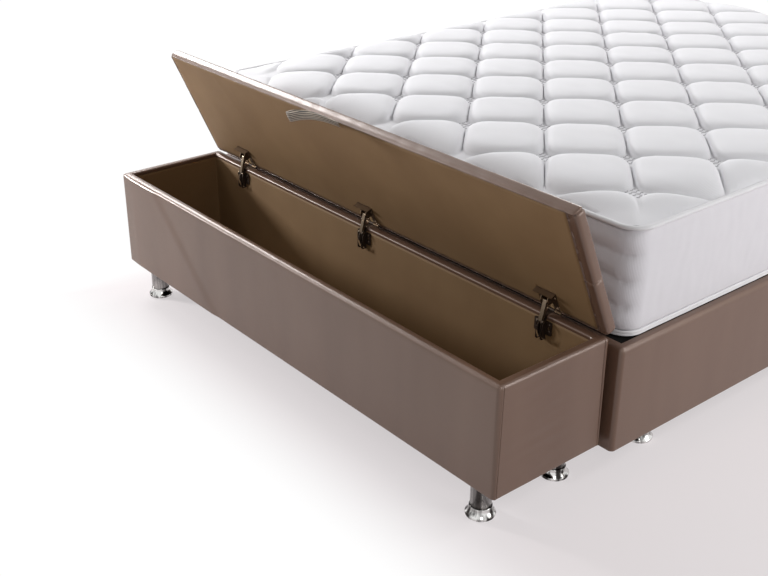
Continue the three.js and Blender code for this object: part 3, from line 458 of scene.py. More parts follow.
def sweep(name, rect, radius, profile, places, finish, body, lift, closed=True, place=None):
    """A profile of (inset, z, back inset) carried round a rounded rectangle.

    lift gives how far each point moves along its normal, in mm, and place turns the points."""
    rings = []
    for p in profile:
        flat, _ = ring(rect, radius, insets_of(p), places)
        rings.append(np.column_stack([flat, np.full(len(flat), p[1])]))
    grid = np.array(rings)
    _, facing = ring(rect, max(radius, 1), (0, 0, 0, 0), places)
    grid = grid + grid_normals(grid) * lift(grid, facing)[..., None]
    base, _ = ring(rect, radius, (0, 0, 0, 0), places)
    around = np.concatenate([[0], np.cumsum(np.linalg.norm(np.diff(base, axis=0), axis=1))])
    travel = [0.0]
    for p, q in zip(profile, profile[1:]):
        travel.append(travel[-1] + float(np.linalg.norm(np.asarray(q)[:2] - np.asarray(p)[:2])))
    uv = np.stack(np.meshgrid(around, travel), axis=-1).reshape(-1, 2)
    points = grid.reshape(-1, 3)
    faces = grid_faces(len(profile), len(places), wrap_rows=closed)
    return make(name, place(points) if place else points, faces, finish, body, uv=uv)


def axes_of(grid):
    return grid[..., 0], grid[..., 1], grid[..., 2]


def ripple(points, scale, seed):
    """Smooth noise from -1 to 1 at points in mm, with a feature size in mm for each axis."""
    flat = np.asarray(points, float).reshape(-1, 3) / scale
    values = [noise.noise((x + seed, y + seed * 0.7, z - seed)) for x, y, z in flat]
    return np.array(values).reshape(np.asarray(points).shape[:-1])


def ripple_flat(x, y, scale, seed):
    """The same noise on a flat sheet."""
    return ripple(np.dstack([x, y, np.zeros(x.shape)]), (*scale, 1), seed)


def bell(distance, width):
    return np.exp(-((distance / width) ** 2))


BOX_FACES = ((0, 2, 3, 1), (4, 5, 7, 6), (0, 1, 5, 4), (2, 6, 7, 3), (0, 4, 6, 2), (1, 3, 7, 5))


def cut_recesses(obj, kind, place=None, folded=False):
    """Takes one kind of recess out of a piece at each hinge.

    folded is for a piece whose skin meets itself in creases."""
    half, y0, y1, z0, z1 = RECESSES[kind]
    points, faces = [], []
    for centre in HINGES:
        start = len(points)
        ends = (centre - half, centre + half)
        points += [(x, y, z) for z in (z0, z1) for y in (y0, y1) for x in ends]
        faces += [[start + k for k in f] for f in BOX_FACES]
    points = np.array(points, float)
    if place:
        points = place(points)
    mesh = bpy.data.meshes.new("cutter")
    mesh.from_pydata(to_row(points).tolist(), [], faces)
    cutter = add_object("cutter", mesh)
    modifier = obj.modifiers.new("recess", "BOOLEAN")
    modifier.operation = "DIFFERENCE"
    modifier.object = cutter
    modifier.solver = "EXACT"
    modifier.use_self = folded
    graph = bpy.context.evaluated_depsgraph_get()
    result = bpy.data.meshes.new_from_object(obj.evaluated_get(graph))
    obj.modifiers.clear()
    obj.data = result
    bpy.data.objects.remove(cutter)


# Chest cover: leatherette folded over the rim, with a seam up each corner


def corner_seam(grid, shift=15, drift=6, depth=3.2, fall=280, reach=40):
    """Groove of the overlap beside each corner, nearer to it below, and a mitre on the rim."""
    x0, x1, y0, y1 = CHEST
    x, y, z = axes_of(grid)
    line = shift - drift * np.clip((CHEST_TOP - z) / fall, 0, 1)
    out = np.zeros(z.shape)
    for side_x, side_y, sign in ((x1, y0, 1), (x1, y1, -1), (x0, y0, 1), (x0, y1, -1)):
        from_x, from_y = np.abs(x - side_x), np.abs(y - side_y)
        distance = sign * (y - side_y) - line
        groove = -depth * bell(distance, 0.9) + 0.45 * depth * bell(distance + 3.4, 2.4)
        mitre = -depth * 0.9 * bell(from_x - from_y, 1.6)
        close = (from_x < reach) & (from_y < reach)
        out += np.where(close, np.where(z > CHEST_TOP - 3, mitre, groove), 0)
    return out


def cluster(length, at, reach, step):
    """Shares along a side of that length, close together round a place."""
    count = int(2 * reach / step)
    return [min(max((at - reach + k * step) / length, 0), 1) for k in range(count + 1)]


HEM = 2
FOLD_FOOT = 376
FOLD_THICK = 2.9
MOST_PROUD = 0.05
seam_shares = cluster(CHEST_DEPTH - 2 * CHEST_R, 6, 6, 0.7)
seam_shares += [1 - s for s in seam_shares]
chest_places = places_round(150, 44, 8, seam_shares)
chest_profile = rounded(
    [
        (TURNED_IN, CHEST_BOTTOM, None, 0),
        (0, CHEST_BOTTOM, None, 2),
        (0, CHEST_TOP, None, 10),
        (WALL_IN, CHEST_TOP, BACK_IN, 9),
        (WALL_IN, FOLD_FOOT, BACK_IN, 1.2),
        (WALL_IN - FOLD_THICK, FOLD_FOOT, BACK_IN - FOLD_THICK, 1.2),
        (WALL_IN - FOLD_THICK, CHEST_TOP - COVER, BACK_IN - FOLD_THICK, 0),
        (COVER, CHEST_TOP - COVER, None, 0),
        (COVER, CHEST_BOTTOM + HEM, None, 0),
        (TURNED_IN, CHEST_BOTTOM + HEM, None, 0),
    ]
)
chest_profile = filled(chest_profile, 9)
outer_rows = len([p for p in chest_profile if p[0] <= 0.01]) + 12
seam_rows = 40


def chest_lift(grid, facing):
    """Broad waves, a crease on the front, a crumpled corner, pulls on the right and a round rim."""
    x, y, z = axes_of(grid)
    rows = np.arange(len(grid))[:, None]
    skin = (z > CHEST_BOTTOM + HEM / 2) & (np.abs(x) > 0)
    broad = 0.5 * ripple(grid, (150, 150, 420), 3.1) + 0.25 * ripple(grid, (60, 60, 120), 7.7)
    across = (x + 612) - 1.1 * (CHEST_TOP - z)
    crease = 2.6 / (1 + np.exp(np.clip(across / 7, -30, 30)))
    crease = crease * (y < 5) * np.clip((x + HALF_WIDTH) / 60, 0, 1)
    from_corner = np.hypot(x - 766, z - CHEST_TOP)
    crumple = 1.5 * ripple(grid, (7, 7, 7), 5.1) * bell(from_corner, 24) * (y < 30)
    pulls = ripple(grid, (60, 90, 9), 8.3) * (x > HALF_WIDTH - 10) * bell(y - 130, 90)
    inset_x = np.minimum(x + HALF_WIDTH, HALF_WIDTH - x)
    inset = np.minimum(inset_x, np.minimum(y, (CHEST_DEPTH - y) * WALL_IN / BACK_IN))
    arch = np.clip(np.abs(inset - WALL_IN / 2) / (WALL_IN / 2), 0, 1) ** 2
    arch *= -2.4 * (z > CHEST_TOP - 2)
    lift = np.where((rows < outer_rows) & skin, broad + crease + crumple + pulls + arch, 0)
    lift = lift + np.where(skin & (rows < seam_rows), corner_seam(grid), 0)
    return np.where(z > CHEST_TOP - 4, np.minimum(lift, MOST_PROUD), lift)


chest_cover = sweep(
    "chest_leatherette",
    CHEST,
    CHEST_R,
    chest_profile,
    chest_places,
    "leatherette",
    "bed",
    chest_lift,
)
cut_recesses(chest_cover, "knuckle")
cut_recesses(chest_cover, "tongue")
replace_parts(chest_cover, "chest_cover")

# Linings of the chest

WALL_RECT = (-777.9, 777.9, 22.1, 314.9)
WALL_FOOT, WALL_HEAD, WALL_CLOTH = 139.9, 375.7, 2
wall_profile = [
    (0, WALL_FOOT, 0),
    (0, WALL_HEAD, 0),
    (WALL_CLOTH, WALL_HEAD, WALL_CLOTH),
    (WALL_CLOTH, WALL_FOOT, WALL_CLOTH),
]
wall_profile = filled([np.array(p, float) for p in wall_profile], 8)


def wall_lift(grid, facing):
    """Slack that only ever leans on the boards behind the cloth."""
    rows = np.arange(len(grid))[:, None]
    inner = (rows > len(grid) // 2 + 1) & (rows < len(grid) - 1)
    waves = 0.7 * ripple(grid, (160, 160, 110), 1.3) + 0.35 * ripple(grid, (34, 34, 60), 5.2)
    return np.where(inner, -np.abs(waves), 0)


wall_places = places_round(150, 36, 2)
wall_lining = sweep(
    "chest_wall_cloth", WALL_RECT, 0.5, wall_profile, wall_places, "lining_cloth", "bed", wall_lift
)
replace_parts(wall_lining, "chest_wall_lining")


def panel(name, x, y, z, step, finish, body, lift, edge=None, place=None):
    """A thin sheet between two places on each axis, closed, on a regular grid."""
    lines = [np.linspace(low, high, max(2, int((high - low) / step)) + 1) for low, high in (x, y)]
    flat = np.stack(np.meshgrid(*lines, indexing="ij"), axis=-1)
    if edge is not None:
        flat = edge(flat)
    rise = lift(flat[..., 0], flat[..., 1])
    upper = np.dstack([flat, z[1] + rise])
    lower = np.dstack([flat, z[0] + rise])
    shape = flat.shape[:2]
    count = shape[0] * shape[1]
    faces = grid_faces(*shape, wrap_columns=False)
    faces = faces + [tuple(k + count for k in reversed(f)) for f in faces]
    index = np.arange(count).reshape(shape)
    rim = np.concatenate([index[0, :-1], index[:-1, -1], index[-1, :0:-1], index[:0:-1, 0]])
    for k, a in enumerate(rim):
        b = rim[(k + 1) % len(rim)]
        faces.append((int(a), int(b), int(b) + count, int(a) + count))
    points = np.concatenate([upper.reshape(-1, 3), lower.reshape(-1, 3)])
    uv = np.concatenate([flat.reshape(-1, 2)] * 2)
    return make(name, place(points) if place else points, faces, finish, body, uv=uv)


def floor_waves(x, y):
    return np.abs(ripple_flat(x, y, (170, 120), 2.2))


floor_lining = panel(
    "chest_floor_cloth",
    (-775.6, 775.6),
    (24.4, 312.6),
    (140.0, 141.9),
    12,
    "lining_cloth",
    "bed",
    floor_waves,
)
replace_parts(floor_lining, "chest_floor_lining")

# Lid: cover, lining and pull loop. It is drawn closed, and open_lid turns it up

LID_HEMS = (8, 6, 9)
LID_HEM_THICK = 3
lid_depth = LID_BACK - LID_FRONT
half_depth = lid_depth / 2
lid_places = places_round(150, 48, 8, cluster(lid_depth - 2 * LID_R, LID_SEAM - LID_R, 9, 0.8))


def lid_profile_of(points):
    """Gives the leatherette under the lid's back, front and left edge its own width there."""
    out = []
    for side, z, _ in points:
        under = z < LID_UNDER + LID_HEM_THICK + 0.5 and side > COVER
        shares = [(width - COVER) / (LID_SIDE - COVER) if under else 1 for width in LID_HEMS]
        out.append([side, z] + [COVER + (side - COVER) * share for share in shares])
    return [np.array(p) for p in out]


lid_outer = rounded(
    [
        (half_depth, LID_TOP, None, 0),
        (0, LID_TOP, None, 9.5),
        (0, LID_UNDER, None, 11),
        (LID_SIDE, LID_UNDER, None, 1.0),
        (LID_SIDE, LID_UNDER + LID_HEM_THICK, None, 0),
        (COVER, LID_UNDER + LID_HEM_THICK, None, 0),
        (COVER, LID_TOP - COVER, None, 0),
        (half_depth, LID_TOP - COVER, None, 0),
    ]
)
lid_outer = filled(lid_outer, 11)
lid_profile = lid_profile_of(lid_outer)
lid_border_row = max(i for i, p in enumerate(lid_outer) if p[1] < LID_UNDER + 0.3)


def lid_lift(grid, facing, border=36):
    """A crowned top, waves, mitred corners, a seam up each end and hems sunk beside the lining.

    The profile starts in the middle of the top, so its normals face in and the lift is negative."""
    x, y, z = axes_of(grid)
    rows = np.arange(len(grid))[:, None]
    inset_x = np.minimum(x + HALF_WIDTH, HALF_WIDTH - x)
    inset_y = np.minimum(y - LID_FRONT, LID_BACK - y)
    arch_x = np.sin(np.clip((HALF_WIDTH - np.abs(x)) / 110, 0, 1) * math.pi / 2)
    arch_y = np.sin(np.clip(inset_y / 110, 0, 1) * math.pi / 2)
    crown = np.where(z > LID_TOP - 1, 3.0 * arch_x * arch_y, 0)
    broad = 0.45 * ripple(grid, (120, 120, 60), 4.4) + 0.4 * ripple(grid, (38, 38, 30), 9.1)
    broad = broad + 0.45 * ripple(grid, (17, 17, 22), 2.6) * (z < LID_TOP - 6)
    from_x = np.minimum(np.abs(x + HALF_WIDTH), np.abs(HALF_WIDTH - x))
    from_y = np.minimum(np.abs(y - LID_FRONT), np.abs(y - LID_BACK))
    mitre = np.where((from_x < border) & (from_y < border), -3.0 * bell(from_x - from_y, 2.0), 0)
    seam_y = LID_FRONT + LID_SEAM + 3 * np.sin((z - LID_UNDER) / (LID_TOP - LID_UNDER) * math.pi)
    seam = np.where(from_x < border, 2.4 * bell(y - seam_y, 1.2) - 1.5 * bell(y - seam_y - 4, 3), 0)
    seam = np.where(z < LID_TOP - 4, seam, 0)
    under = (z < LID_UNDER + 1) & (np.minimum(inset_x, inset_y) > COVER)
    clear = np.min([np.abs(x - centre) for centre in HINGES], axis=0) > 60
    sunk = bell(x - (HALF_WIDTH - LID_SIDE), 5) + (y > 300) * (from_x > 34) * clear
    sunk = -1.6 * under * sunk
    lift = np.where(rows <= lid_border_row, crown + broad + mitre + sunk + seam, 0)
    lift = np.maximum(lift, 0.4 - COVER)
    return -np.where(z < LID_UNDER + 4, np.minimum(lift, MOST_PROUD), lift)


lid_cover = sweep(
    "lid_leatherette",
    LID,
    LID_R,
    lid_profile,
    lid_places,
    "leatherette",
    "lid",
    lid_lift,
    closed=False,
    place=open_lid,
)
cut_recesses(lid_cover, "knuckle", open_lid, folded=True)
cut_recesses(lid_cover, "plate", open_lid, folded=True)
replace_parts(lid_cover, "lid_cover")


def lid_cloth_edge(flat):
    """The lining's stapled edge at the back isn't quite straight."""
    out = flat.copy()
    x, y = flat[..., 0], flat[..., 1]
    wave = 2.2 * ripple_flat(x, y, (24, 400), 6.6) + 0.8 * ripple_flat(x, y, (7, 400), 2.2)
    low = np.clip((y - 308) / 20, 0, 1)
    out[..., 1] += wave * low - 1.2 * low
    return out


def lid_cloth_waves(x, y):
    """Slack towards the chest, with one slanting fold near the left end."""
    broad = 1.1 * ripple_flat(x, y, (210, 150), 8.8) + 0.5 * ripple_flat(x, y, (60, 70), 2.9)
    fold = 1.2 * bell((x + 560) - 0.45 * (y - 20), 9) * np.clip(1 - (y - 10) / 160, 0, 1)
    return -np.abs(broad) * 0.8 - fold * 0.6


lid_lining = panel(
    "lid_cloth",
    (-790.7, 769.7),
    (LID_FRONT + 6.3, LID_BACK - 8.3),
    (388.6, 390.4),
    9,
    "lining_cloth",
    "lid",
    lid_cloth_waves,
    lid_cloth_edge,
    open_lid,
)
cut_recesses(lid_lining, "plate", open_lid)
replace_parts(lid_lining, "lid_lining")

# Pull loop: gap and width are at the root and at the end, the turn is a share of the drop, and one
# unit of the wrap coordinates is RIBBON_WRAP mm of the ribbon's width

LOOP_X, LOOP_BACK, LOOP_ROOT = 2, LID_FRONT + 17.5, LID_UNDER - 1.4
LOOP_LEAN, LOOP_REACH, LOOP_DROP, LOOP_TURN = 44, 60, 87.8, 0.93
LOOP_GAPS, RIBBON_WIDTHS = (40, 12), (16, 28)
RIBBON_WRAP = 24


def loop_line(steps=80):
    """The ribbon's middle line, down one run and up the other: x, y, z and the width there."""
    shares = [k / steps for k in range(steps + 1)]
    spine = []
    for side, share in [(-1, s) for s in shares] + [(1, s) for s in shares[-2::-1]]:
        half = (LOOP_GAPS[0] + (LOOP_GAPS[1] - LOOP_GAPS[0]) * share) / 2
        half *= math.sqrt(max(1 - max(share - LOOP_TURN, 0) ** 2 / (1 - LOOP_TURN) ** 2, 0))
        apart = 2.5 * (1 - share) * (side > 0)
        x = LOOP_X - LOOP_LEAN * share + side * half
        y = LOOP_BACK - LOOP_REACH * (1 - (1 - share) ** 2) + apart
        width = RIBBON_WIDTHS[0] + (RIBBON_WIDTHS[1] - RIBBON_WIDTHS[0]) * share
        spine.append((x, y, LOOP_ROOT - LOOP_DROP * share, width))
    return np.array(spine)


def pull_loop():
    """A ribbed ribbon, sewn in under the front edge, that stands out in a loop."""
    spine = loop_line()
    step = np.gradient(spine[:, [0, 2]], axis=0)
    step /= np.maximum(np.linalg.norm(step, axis=1, keepdims=True), 1e-9)
    across = np.linspace(0, 1, 31)
    rows, wrap = [], []
    for (x, y, z, width), (tx, tz) in zip(spine, step):
        thick = 0.8 + 0.55 * np.abs(np.sin(across * math.pi * 5)) ** 0.6
        curl = 1.2 * (across - 0.5) ** 2 * 4
        ridges = list(zip(across, curl, thick))
        upper = [(x - tz * (h + c), y - width * a, z + tx * (h + c)) for a, c, h in ridges]
        lower = [(x + tz * (h - c), y - width * a, z - tx * (h - c)) for a, c, h in ridges]
        rows.append(upper + lower[::-1])
        wrap += [(0, width * a) for a in list(across) + list(across[::-1])]
    count = len(rows[0])
    points = [p for row in rows for p in row]
    faces = grid_faces(len(rows), count)
    faces.append(tuple(range(count)))
    faces.append(tuple(len(points) - 1 - k for k in range(count)))
    wrap = np.array(wrap) / MM / RIBBON_WRAP
    return make("pull_ribbon", open_lid(points), faces, "ribbon", "lid", uv=wrap, merge=0)


ribbon_loop = pull_loop()
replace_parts(ribbon_loop, "pull_loop")

# Legs


def lathe(name, profile, x, y, finish, sides=64):
    """A turned piece from a closed outline of (radius, z)."""
    angles = np.arange(sides) / sides * 2 * math.pi
    points = [(x + r * math.cos(a), y + r * math.sin(a), z) for r, z in profile for a in angles]
    return make(name, points, grid_faces(len(profile), sides, wrap_rows=True), finish, "bed")


def leg(name, x, y, height, replaced, replaced_skirt=None):
    """A tube with a plate under the frame, in a flared skirt with a hollow neck."""
    r, top = LEG_R, height - 0.3
    tube = [(r, 4), (r, height - 3.3), (r + 5, height - 2.9), (r + 8, height - 2.2), (r + 8, top)]
    tube += [(0.4, top), (0.4, 0), (r - 3.5, 0), (r - 3.0, 1.2), (r - 0.4, 3.0)]
    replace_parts(lathe(name, tube, x, y, "chrome_tube"), replaced)
    rim = [(33.2, 1.0), (34.4, 1.8), (35.2, 3.6), (35.5, 5.8)]
    neck = []
    for k in range(15):
        share = k / 14
        neck.append((26.8 + 8.7 * (1 - math.sin(share * math.pi / 2)) ** 1.25, 8 + 19 * share))
    inner = [(25.7, 27.4), (25.5, 26.0), (25.5, 8.0), (31.5, 1.2)]
    skirt = lathe(name + "_skirt", rim + neck + inner, x, y, "chrome")
    if replaced_skirt:
        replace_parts(skirt, replaced_skirt)


for row, y in CHEST_LEG_Y.items():
    for side, x in (("left", -CHEST_LEG_X), ("right", CHEST_LEG_X)):
        spot = f"{row}_{side}"
        leg(f"leg_{spot}", x, y, CHEST_BOTTOM, f"chest_leg_{spot}", f"chest_leg_skirt_{spot}")
for row, y in BASE_LEG_Y.items():
    for side, x in (("left", -BASE_LEG_X), ("right", BASE_LEG_X)):
        leg(f"leg_{row}_{side}", x, y, BASE_BOTTOM, f"base_leg_{row}_{side}")

# Base cover

base_profile = rounded(
    [
        (TURNED_IN, BASE_BOTTOM, None, 0),
        (0, BASE_BOTTOM, None, 2.5),
        (0, BASE_TOP, None, 17),
        (BASE_BORDER, BASE_TOP, None, 1.0),
        (BASE_BORDER, BASE_TOP - 3.2, None, 0),
        (17, BASE_TOP - 3.6, None, 0),
        (COVER, BASE_TOP - 16, None, 0),
        (COVER, BASE_BOTTOM + HEM, None, 0),
        (TURNED_IN, BASE_BOTTOM + HEM, None, 0),
    ],
    7,
)
base_profile = filled(base_profile, 10)
base_outer = next(i for i, p in enumerate(base_profile) if p[0] >= BASE_BORDER - 0.1)
base_straight = BASE[3] - BASE[2] - 2 * BASE_R
base_places = places_round(130, 160, 26, cluster(base_straight, 8, 8, 0.8))


def base_lift(grid, facing, reach=44):
    """Broad waves, and two pleats over a seam at each corner."""
    x, y, z = axes_of(grid)
    rows = np.arange(len(grid))[:, None]
    broad = 0.7 * ripple(grid, (190, 190, 300), 12.4) + 0.3 * ripple(grid, (70, 70, 90), 3.7)
    from_x = np.minimum(np.abs(x + BASE_HALF_WIDTH), np.abs(BASE_HALF_WIDTH - x))
    from_y = np.minimum(np.abs(y - BASE[2]), np.abs(y - BASE[3]))
    near = (from_x < reach) & (from_y < reach)
    turn = np.degrees(np.arctan2(np.abs(facing[:, 1]), np.abs(facing[:, 0])))[None, :]
    pleats = -6.5 * bell(turn - 18, 14) - 6.5 * bell(turn - 70, 14)
    pleats = pleats * np.clip((z - (BASE_TOP - 28)) / 20, 0, 1)
    seam = -bell(from_y - 4.5, 1.2) * np.clip((BASE_TOP - 15 - z) / 20, 0, 1) * (from_x < 6)
    return np.where(rows < base_outer, broad + np.where(near, pleats + seam, 0), 0)


base_cover = sweep(
    "base_leatherette", BASE, BASE_R, base_profile, base_places, "leatherette", "bed", base_lift
)
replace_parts(base_cover, "base_cover")

# Mattress

BORDER_IN, BORDER_BACK = 6.0, 12.0
low_edge, high_edge = LOW_BAND + 0.3, HIGH_TAPE - 5.6
border_profile = [np.array((BORDER_IN, z, BORDER_IN)) for z in np.linspace(low_edge, high_edge, 57)]
border_rows = len(border_profile)
border_profile += [np.array((BORDER_BACK, z, BORDER_BACK)) for z in (high_edge, low_edge)]


def border_lift(grid, facing):
    """Four quilted channels on the foot side, which fade out round the corner to a plain belly."""
    z = grid[..., 2]
    share = np.clip((z - low_edge) / (high_edge - low_edge), 0, 1)
    facing_foot = np.maximum(-facing[:, 1], 0)[None, :] ** 2
    belly = 4.5 * np.sin(math.pi * share) ** 0.6
    wander = 0.05 * ripple(grid, (90, 90, 400), 4.9)
    wave = np.abs(np.sin(math.pi * (share + wander * np.sin(math.pi * share)) * 4))
    channel = 11.5 * wave**0.85 - 4.5
    pucker = 2.4 * ripple(grid, (10, 10, 26), 7.1) * bell(wave, 0.6)
    pull = 0.9 * ripple(grid, (70, 70, 46), 5.5) + 0.5 * ripple(grid, (20, 20, 60), 8.2)
    at_edges = bell(high_edge - z, 20) + 0.7 * bell(z - low_edge, 14)
    gather = ripple(grid, (9, 9, 160), 2.4) * at_edges
    out = facing_foot * (channel + pucker) + (1 - facing_foot) * belly
    out = out + (pull + gather) * np.clip(np.sin(math.pi * share) * 3, 0.15, 1)
    rows = np.arange(len(grid))[:, None] < border_rows
    return np.where(rows, np.minimum(out, 7.5), 0)


border_places = places_round(220, 250, 24)
border = sweep(
    "mattress_side_cloth",
    MATTRESS,
    MATTRESS_R,
    border_profile,
    border_places,
    "mattress_side",
    "bed",
    border_lift,
)
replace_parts(border, "mattress_border")


def tape_lift(grid, facing):
    return 0.35 * ripple(grid, (46, 46, 12), 3.3) + 0.22 * ripple(grid, (9, 9, 30), 6.2)


def tapes():
    """A round piping at the top edge and a flat band, folded over a cord, at the bottom edge."""
    angles = np.linspace(0, 2 * math.pi, 15)[:-1]
    top = [(TAPE_R - 0.6 + 6.3 * math.cos(a), HIGH_TAPE + 5.3 * math.sin(a)) for a in angles]
    low = [(4.6, 360.9), (3.2, 362.2), (3.2, 364.6), (4.4, 365.8), (4.4, 367.2), (3.4, 368.4)]
    low += [(3.4, 371.6), (4.6, LOW_BAND), (6.5, LOW_BAND), (9.5, 372), (9.5, 361.6), (7.5, 360.7)]
    for edge, outline in (("bottom", low), ("top", top)):
        tape = sweep(
            f"mattress_{edge}_piping",
            MATTRESS,
            MATTRESS_R,
            [np.array((inset, z, inset)) for inset, z in outline],
            border_places,
            "tape_white",
            "bed",
            tape_lift,
        )
        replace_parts(tape, f"mattress_{edge}_tape")


tapes()

# Quilted top


def bent(a):
    """A square near 0, straight further out: the quilting's squares grow towards the foot."""
    size = np.abs(a)
    return np.where(size < BENT, a * a, BENT * (2 * size - BENT))


def bent_slope(a):
    return 2 * np.clip(a, -BENT, BENT)


def cell_at(s, t):
    """Row and column of the quilting along the diagonals, both whole numbers on the seams."""
    row = ROW_START + ROW_RATE * s - ROW_BEND * bent(s) + ROW_LEAN * t
    return row, COLUMN_START + COLUMN_RATE * t - COLUMN_BEND * bent(t) + COLUMN_LEAN * s


def quilt_cell(x, y):
    """Row and column of the quilting at a place on the top."""
    y = y + ROW_Y
    return cell_at((x - y) * MM / math.sqrt(2), (x + y) * MM / math.sqrt(2))


def quilt_place(row, column):
    """The place of a row and column, by Newton's method."""
    s, t = (row - ROW_START) / ROW_RATE, (column - COLUMN_START) / COLUMN_RATE
    for _ in range(8):
        row_now, column_now = cell_at(s, t)
        s = s - (row_now - row) / (ROW_RATE - ROW_BEND * bent_slope(s))
        t = t - (column_now - column) / (COLUMN_RATE - COLUMN_BEND * bent_slope(t))
    x, y = (s + t) / math.sqrt(2) / MM, (t - s) / math.sqrt(2) / MM
    return x, y - ROW_Y


def quilt_height(x, y, row=None, column=None):
    """Height of the top over its lower face: a crown, and a steep-sided pillow in each square."""
    if row is None:
        row, column = quilt_cell(x, y)
    x0, x1, y0, y1 = MATTRESS
    to_end = np.minimum(y - y0, y1 - y)
    to_edge = np.minimum(np.minimum(x - x0, x1 - x), to_end)
    rise = np.sin(np.clip(to_edge / 150, 0, 1) * math.pi / 2)
    a, b = np.abs(2 * (row % 1) - 1), np.abs(2 * (column % 1) - 1)
    reach = np.minimum((a**4 + b**4) ** 0.25, 1)
    puff = 0.8 * np.sqrt(1 - reach**9) + 0.2 * (1 - reach**2)
    creases = ripple_flat(x, y, (14, 14), 6.1) * bell(1 - reach, 0.2) * 1.5
    creases = creases + ripple_flat(x, y, (60, 34), 1.9) * 1.3
    creases = creases + 0.6 * ripple_flat(x, y, (26, 8), 3.7)
    to_corner = np.hypot(x1 - np.abs(x), to_end)
    full = np.clip((to_edge - 8) / 70, 0, 1) * np.clip((to_corner - 110) / 160, 0, 1)
    folds = 1.6 * ripple_flat(x, y, (34, 20), 9.6) * bell(to_edge - 50, 40)
    swell = 25 * puff * full**0.7 + 9 * (1 - full) * rise
    return 8 + 11 * rise + swell + creases * puff**0.5 * full + folds * rise


def hold_inside(x, y, rect, radius):
    """Moves places outside a rounded rectangle to its outline, and tells which ones they were."""
    x0, x1, y0, y1 = rect
    cx, cy = np.clip(x, x0 + radius, x1 - radius), np.clip(y, y0 + radius, y1 - radius)
    dx, dy = x - cx, y - cy
    away = np.hypot(dx, dy)
    outside = away > radius
    scale = np.where(outside, radius / np.maximum(away, 1e-9), 1)
    return cx + dx * scale, cy + dy * scale, outside


def thick_patch(name, points, faces, foot, finish):
    """A closed piece from an open patch: it, a flat copy of it at the foot, and walls between."""
    count = len(points)
    under = points * (1, 1, 0) + (0, 0, foot)
    edges = dict.fromkeys((a, b) for f in faces for a, b in zip(f, f[1:] + f[:1]))
    walls = [(b, a, a + count, b + count) for a, b in edges if (b, a) not in edges]
    below = [tuple(k + count for k in reversed(f)) for f in faces]
    used = sorted({k for f in faces for k in f})
    place_of = {k: i for i, k in enumerate(used)}
    place_of.update({k + count: i + len(used) for i, k in enumerate(used)})
    kept = np.concatenate([points[used], under[used]])
    kept_faces = [tuple(place_of[k] for k in f) for f in faces + walls + below]
    uv = np.concatenate([points[used, :2]] * 2)
    return make(name, kept, kept_faces, finish, "bed", uv=uv, merge=0)


SEAM_TO_MIDDLE = (0, 0.012, 0.03, 0.055, 0.09, 0.14, 0.21, 0.3, 0.4, 0.5)
PANEL_IN = 10.4


def top_panel():
    """The quilted top on a grid that follows the seams, with its lines closer beside them."""
    shares = SEAM_TO_MIDDLE + tuple(1 - h for h in SEAM_TO_MIDDLE[-2:0:-1])
    rows = np.array([k + s for k in range(*QUILT_ROWS) for s in shares])
    columns = np.array([k + s for k in range(*QUILT_COLUMNS) for s in shares])
    row, column = np.meshgrid(rows, columns, indexing="ij")
    x, y = quilt_place(row, column)
    x0, x1, y0, y1 = MATTRESS
    rect = (x0 + PANEL_IN, x1 - PANEL_IN, y0 + PANEL_IN, y1 - PANEL_IN)
    x, y, outside = hold_inside(x, y, rect, MATTRESS_R - PANEL_IN)
    height = PANEL_FOOT + quilt_height(x, y, row, column)
    points = np.dstack([x, y, height]).reshape(-1, 3)
    out = outside.ravel()
    faces = grid_faces(len(rows), len(columns), wrap_columns=False)
    faces = [f for f in faces if not all(out[list(f)])]
    obj = thick_patch("mattress_quilt", points, faces, PANEL_FOOT, "mattress_knit")
    obj.data.set_sharp_from_angle(angle=math.radians(70))
    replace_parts(obj, "mattress_top_panel")


top_panel()

# Stitches

STITCH_ROWS = (-1.5, -0.5, 0.5, 1.5)
STITCH_PITCH, STITCH_SLANT, STITCH_WAVE, STITCH_LENGTH = 13, 2, 2.6, 38
STITCH_FROM_EDGE = 80
THREAD_HALF_WIDTH, THREAD_HALF_HEIGHT, THREAD_ABOVE = 1.2, 0.9, 0.7


def stitch_line(cx, cy, row, steps=24):
    """The middle line of one stroke of thread, lying on the quilted top."""
    share = np.arange(steps + 1) / steps - 0.5
    x = cx + row * STITCH_PITCH + STITCH_WAVE * np.sin(share * 4 * math.pi)
    y = cy - row * STITCH_SLANT + STITCH_LENGTH * share
    z = PANEL_FOOT + quilt_height(x[:, None], y[:, None])[:, 0] + THREAD_ABOVE
    return np.column_stack([x, y, z])


def thread_along(line, points, faces):
    """Adds a closed four-sided thread along a line."""
    start, steps = len(points), len(line) - 1
    for k, p in enumerate(line):
        d = line[min(k + 1, steps)] - line[max(k - 1, 0)]
        side = np.array((-d[1], d[0], 0)) / max(math.hypot(d[0], d[1]), 1e-9)
        for angle in (0, 90, 180, 270):
            c, s = math.cos(math.radians(angle)), math.sin(math.radians(angle))
            up = np.array((0, 0, THREAD_HALF_HEIGHT * s))
            points.append(p + side * c * THREAD_HALF_WIDTH + up)
    for k in range(steps):
        for m in range(4):
            a, b = start + k * 4 + m, start + k * 4 + (m + 1) % 4
            faces.append((a, b, b + 4, a + 4))
    faces.append(tuple(start + m for m in (3, 2, 1, 0)))
    faces.append(tuple(start + steps * 4 + m for m in range(4)))


